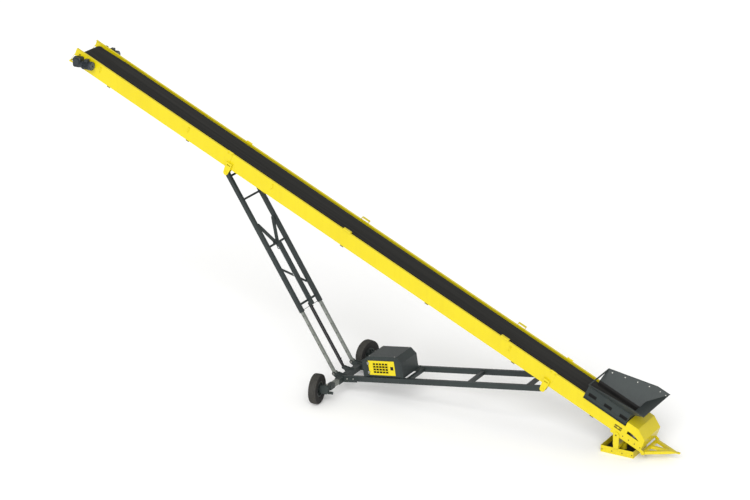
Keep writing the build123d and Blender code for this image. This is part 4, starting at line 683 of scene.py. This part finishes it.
door_mesh = bmesh.new()
bmesh.ops.create_grid(door_mesh, x_segments=len(lines_x) - 1, y_segments=len(lines_z) - 1, size=0.5)
for vert in door_mesh.verts:
    column = round((vert.co.x + 0.5) * (len(lines_x) - 1))
    row = round((vert.co.y + 0.5) * (len(lines_z) - 1))
    vert.co = (lines_x[column], door_face + door_sheet, lines_z[row])
cells = [face for face in door_mesh.faces
         if lines_x[1] < face.calc_center_median().x < lines_x[-2]
         and lines_z[1] < face.calc_center_median().z < lines_z[-2]]
bmesh.ops.inset_individual(door_mesh, faces=cells, thickness=slot_margin)
slot_places = set()
for cell in cells:
    middle = cell.calc_center_median()
    for vert in cell.verts:
        side_x = math.copysign(1, vert.co.x - middle.x)
        side_z = math.copysign(1, vert.co.z - middle.z)
        vert.co.x = middle.x + side_x * slot_half[0] + side_z * slot_lean
        vert.co.z = middle.z + side_z * slot_half[1]
        slot_places.add(flat_place(vert))
bmesh.ops.delete(door_mesh, geom=cells, context="FACES_ONLY")
front = bmesh.ops.extrude_face_region(door_mesh, geom=door_mesh.faces[:], use_keep_orig=True)
bmesh.ops.translate(door_mesh, vec=(0, -door_sheet, 0),
                    verts=[item for item in front["geom"] if isinstance(item, bmesh.types.BMVert)])
corner_edges = [edge for edge in door_mesh.edges
                if abs(edge.verts[0].co.y - edge.verts[1].co.y) > door_sheet / 2
                and flat_place(edge.verts[0]) in slot_places]
bmesh.ops.bevel(door_mesh, geom=corner_edges, offset=slot_corner, segments=4, profile=0.5, affect="EDGES",
                material=-1)
bmesh.ops.transform(door_mesh, matrix=arms, verts=door_mesh.verts)
slotted_door = piece_from(door_mesh, "slotted_door", yellow_enamel)
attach(slotted_door, "power_pack_door")
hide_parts("power_pack_door")

lining_margin = 0.005
lining_faces = (-0.5148, -0.5128)
# The sheet behind the slots is painted shade: near-black where the inside of the pack falls dark.
back_sheet = bmesh.new()
thin_plate(back_sheet, (door_left + lining_margin, lining_faces[0], door_low + lining_margin),
           (door_right - lining_margin, lining_faces[1], door_high - lining_margin), 0.0006)
lock_inset = 0.092
lock_cap_depth = 0.021
lock_place = Vector((door_right - lock_inset, door_face, door_middle[1]))
lock = bmesh.new()
thin_plate(lock, lock_place + Vector((-0.046, -0.007, -0.050)), lock_place + Vector((0.046, 0.0, 0.050)),
           0.003)
cap_seat = Matrix.Translation(lock_place + Vector((0, -lock_cap_depth / 2, 0)))
cap = bmesh.ops.create_cone(lock, cap_ends=True, segments=24, radius1=0.0295, radius2=0.0275,
                            depth=lock_cap_depth, matrix=cap_seat @ Matrix.Rotation(math.radians(90), 4, "X"))
cap_face = min({face for vert in cap["verts"] for face in vert.link_faces},
               key=lambda face: face.calc_center_median().y)
cap_face.normal_update()
bmesh.ops.inset_region(lock, faces=[cap_face], thickness=0.009, depth=0.003)
hinge_heights = (0.220, 0.485)
hinge_edge = 0.0008
barrel_place = (door_left - 0.025, -0.531)
barrel_radius = 0.0125
barrel_length = 0.0235
barrel_pitch = 0.0255
leaf_half = 0.028
block_half = 0.026
hinges = bmesh.new()
for height in hinge_heights:
    for knuckle in (-1, 0, 1):
        barrel_seat = Matrix.Translation((*barrel_place, height + knuckle * barrel_pitch))
        bmesh.ops.create_cone(hinges, cap_ends=True, segments=16, radius1=barrel_radius,
                              radius2=barrel_radius, depth=barrel_length, matrix=barrel_seat)
    thin_plate(hinges, (door_left - 0.022, -0.5380, height - leaf_half),
               (door_left + 0.028, -0.5345, height + leaf_half), hinge_edge)
    thin_plate(hinges, (door_left + 0.001, -0.5350, height - block_half),
               (door_left + 0.027, -0.5200, height + block_half), hinge_edge)
for mesh, name, finish, slot in ((back_sheet, "door_shade_sheet", painted_shade_black, "black_rubber"),
                                 (lock, "door_lock", black_enamel, "black_paint"),
                                 (hinges, "door_hinges", plated_steel, "pin_steel")):
    bmesh.ops.transform(mesh, matrix=arms, verts=mesh.verts)
    fitted = piece_from(mesh, name, finish)
    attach(fitted, "power_pack_door")


# Bolts of the power pack's roof
# Four zinc-plated bolts, one near each corner, hold the folded roof sheet down on the housing. They
# stand square to the roof, which leans with the arms.
roof_height = 0.690
roof_seats = [arms @ Vector((x, y, roof_height)) for x in (-5.37, -4.56) for y in (-0.49, 0.33)]
roof_out = Matrix.Rotation(-arm_slope, 3, "Y") @ Vector((0, 0, 1))
roof = bmesh.new()
hex_bolts(roof, roof_seats, roof_out, 0.028, 0.012)
roof_bolts = piece_from(roof, "pack_roof_bolts", plated_steel)
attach(roof_bolts, "chassis")


# Tyres
# Moulded rubber tyres with a rounded shoulder, a bulging sidewall and four grooves round the tread;
# cross cuts part the shoulder ribs into blocks. The tread is worn pale and dusty, the wall darker.
wheel_heading = math.atan2(kingpin_line, -axle_x)
wheel_offset = 0.300
tread_radius = 0.430
tyre_segments = 144
half_profile = [(0.004, 0.4300), (0.0175, 0.4298), (0.0185, 0.4205), (0.0265, 0.4205), (0.0275, 0.4296),
                (0.0600, 0.4288), (0.0610, 0.4198), (0.0690, 0.4198), (0.0700, 0.4282), (0.0860, 0.4262),
                (0.1020, 0.4190), (0.1120, 0.4060), (0.1165, 0.3860), (0.1205, 0.3560), (0.1240, 0.3180),
                (0.1215, 0.2800), (0.1120, 0.2480), (0.0985, 0.2300), (0.0905, 0.2220), (0.0900, 0.2005)]
full_profile = [(-along, radius) for along, radius in half_profile[::-1]] + half_profile
shoulder_low = 0.0705
shoulder_high = 0.113
shoulder_radius = 0.405
cut_every = 6
cut_inset = 0.0025
cut_depth = 0.007
sharp_angle = math.radians(38)


def tyre_finish(name, hub, turn):
    """Rubber with rings on the wall and dust that gathers on the tread and in its cuts."""
    made, start, place = new_finish(name)
    on_wheel = place.node("ShaderNodeMapping", {"vector_type": "TEXTURE"}, {
        "Vector": place, "Location": tuple(hub), "Rotation": (0.0, 0.0, turn)})
    flat = on_wheel.node("ShaderNodeVectorMath", {"operation": "MULTIPLY"}, {0: on_wheel, 1: (0.0, 1.0, 1.0)})
    radius = flat.node("ShaderNodeVectorMath", {"operation": "LENGTH"}, {0: flat}, output=1)
    tread = radius.steps((0.398, 0.0), (0.424, 1.0))
    dusty = noise(place, 9.0, 5.0, 0.7).steps((0.35, 0.0), (0.7, 1.0))
    grit = noise(place, 90.0, 3.0, 0.6)
    wall = (dusty * 0.5).blend(rgb(28, 28, 28), rgb(44, 42, 40))
    crown = (dusty * 0.6 + grit * 0.4).blend(rgb(44, 43, 41), rgb(66, 65, 61))
    rings = radius.maths("SINE", radius * 520.0)
    return close_finish(made, start, {
        "Base Color": tread.blend(wall, crown), "Roughness": dusty * 0.15 + 0.72, "Specular IOR Level": 0.25,
        "Normal": bump(rings * (1.0 - tread) * 0.35 + grit, 0.3, 0.0012)})


for side, way in (("right", -1), ("left", 1)):
    turn = -way * wheel_heading
    wheel_place = (Matrix.Translation((axle_x, way * kingpin_line, 0.0)) @ Matrix.Rotation(turn, 4, "Z")
                   @ Matrix.Translation((-wheel_offset, 0.0, tread_radius)))
    tyre_mesh = bmesh.new()
    spun(tyre_mesh, full_profile + full_profile[:1], tyre_segments)
    bmesh.ops.recalc_face_normals(tyre_mesh, faces=tyre_mesh.faces)
    cuts = {}
    for face in tyre_mesh.faces:
        middle = face.calc_center_median()
        segment = int((math.atan2(middle.z, middle.y) % (2 * math.pi)) / (2 * math.pi) * tyre_segments)
        on_shoulder = shoulder_low < abs(middle.x) < shoulder_high and middle.yz.length > shoulder_radius
        if on_shoulder and segment % cut_every == 0:
            cuts.setdefault((middle.x > 0, segment), []).append(face)
    for faces in cuts.values():
        bmesh.ops.inset_region(tyre_mesh, faces=faces, thickness=cut_inset, depth=-cut_depth,
                               use_even_offset=True)
    for face in tyre_mesh.faces:
        face.smooth = True
    bmesh.ops.transform(tyre_mesh, matrix=wheel_place, verts=tyre_mesh.verts)
    finish = tyre_finish("tyre_rubber_" + side, wheel_place.to_translation(), turn)
    tyre = piece_from(tyre_mesh, "ribbed_tyre_" + side, finish)
    tyre.data.set_sharp_from_angle(angle=sharp_angle)
    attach(tyre, "wheel_" + side)
    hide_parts("tyre_" + side)
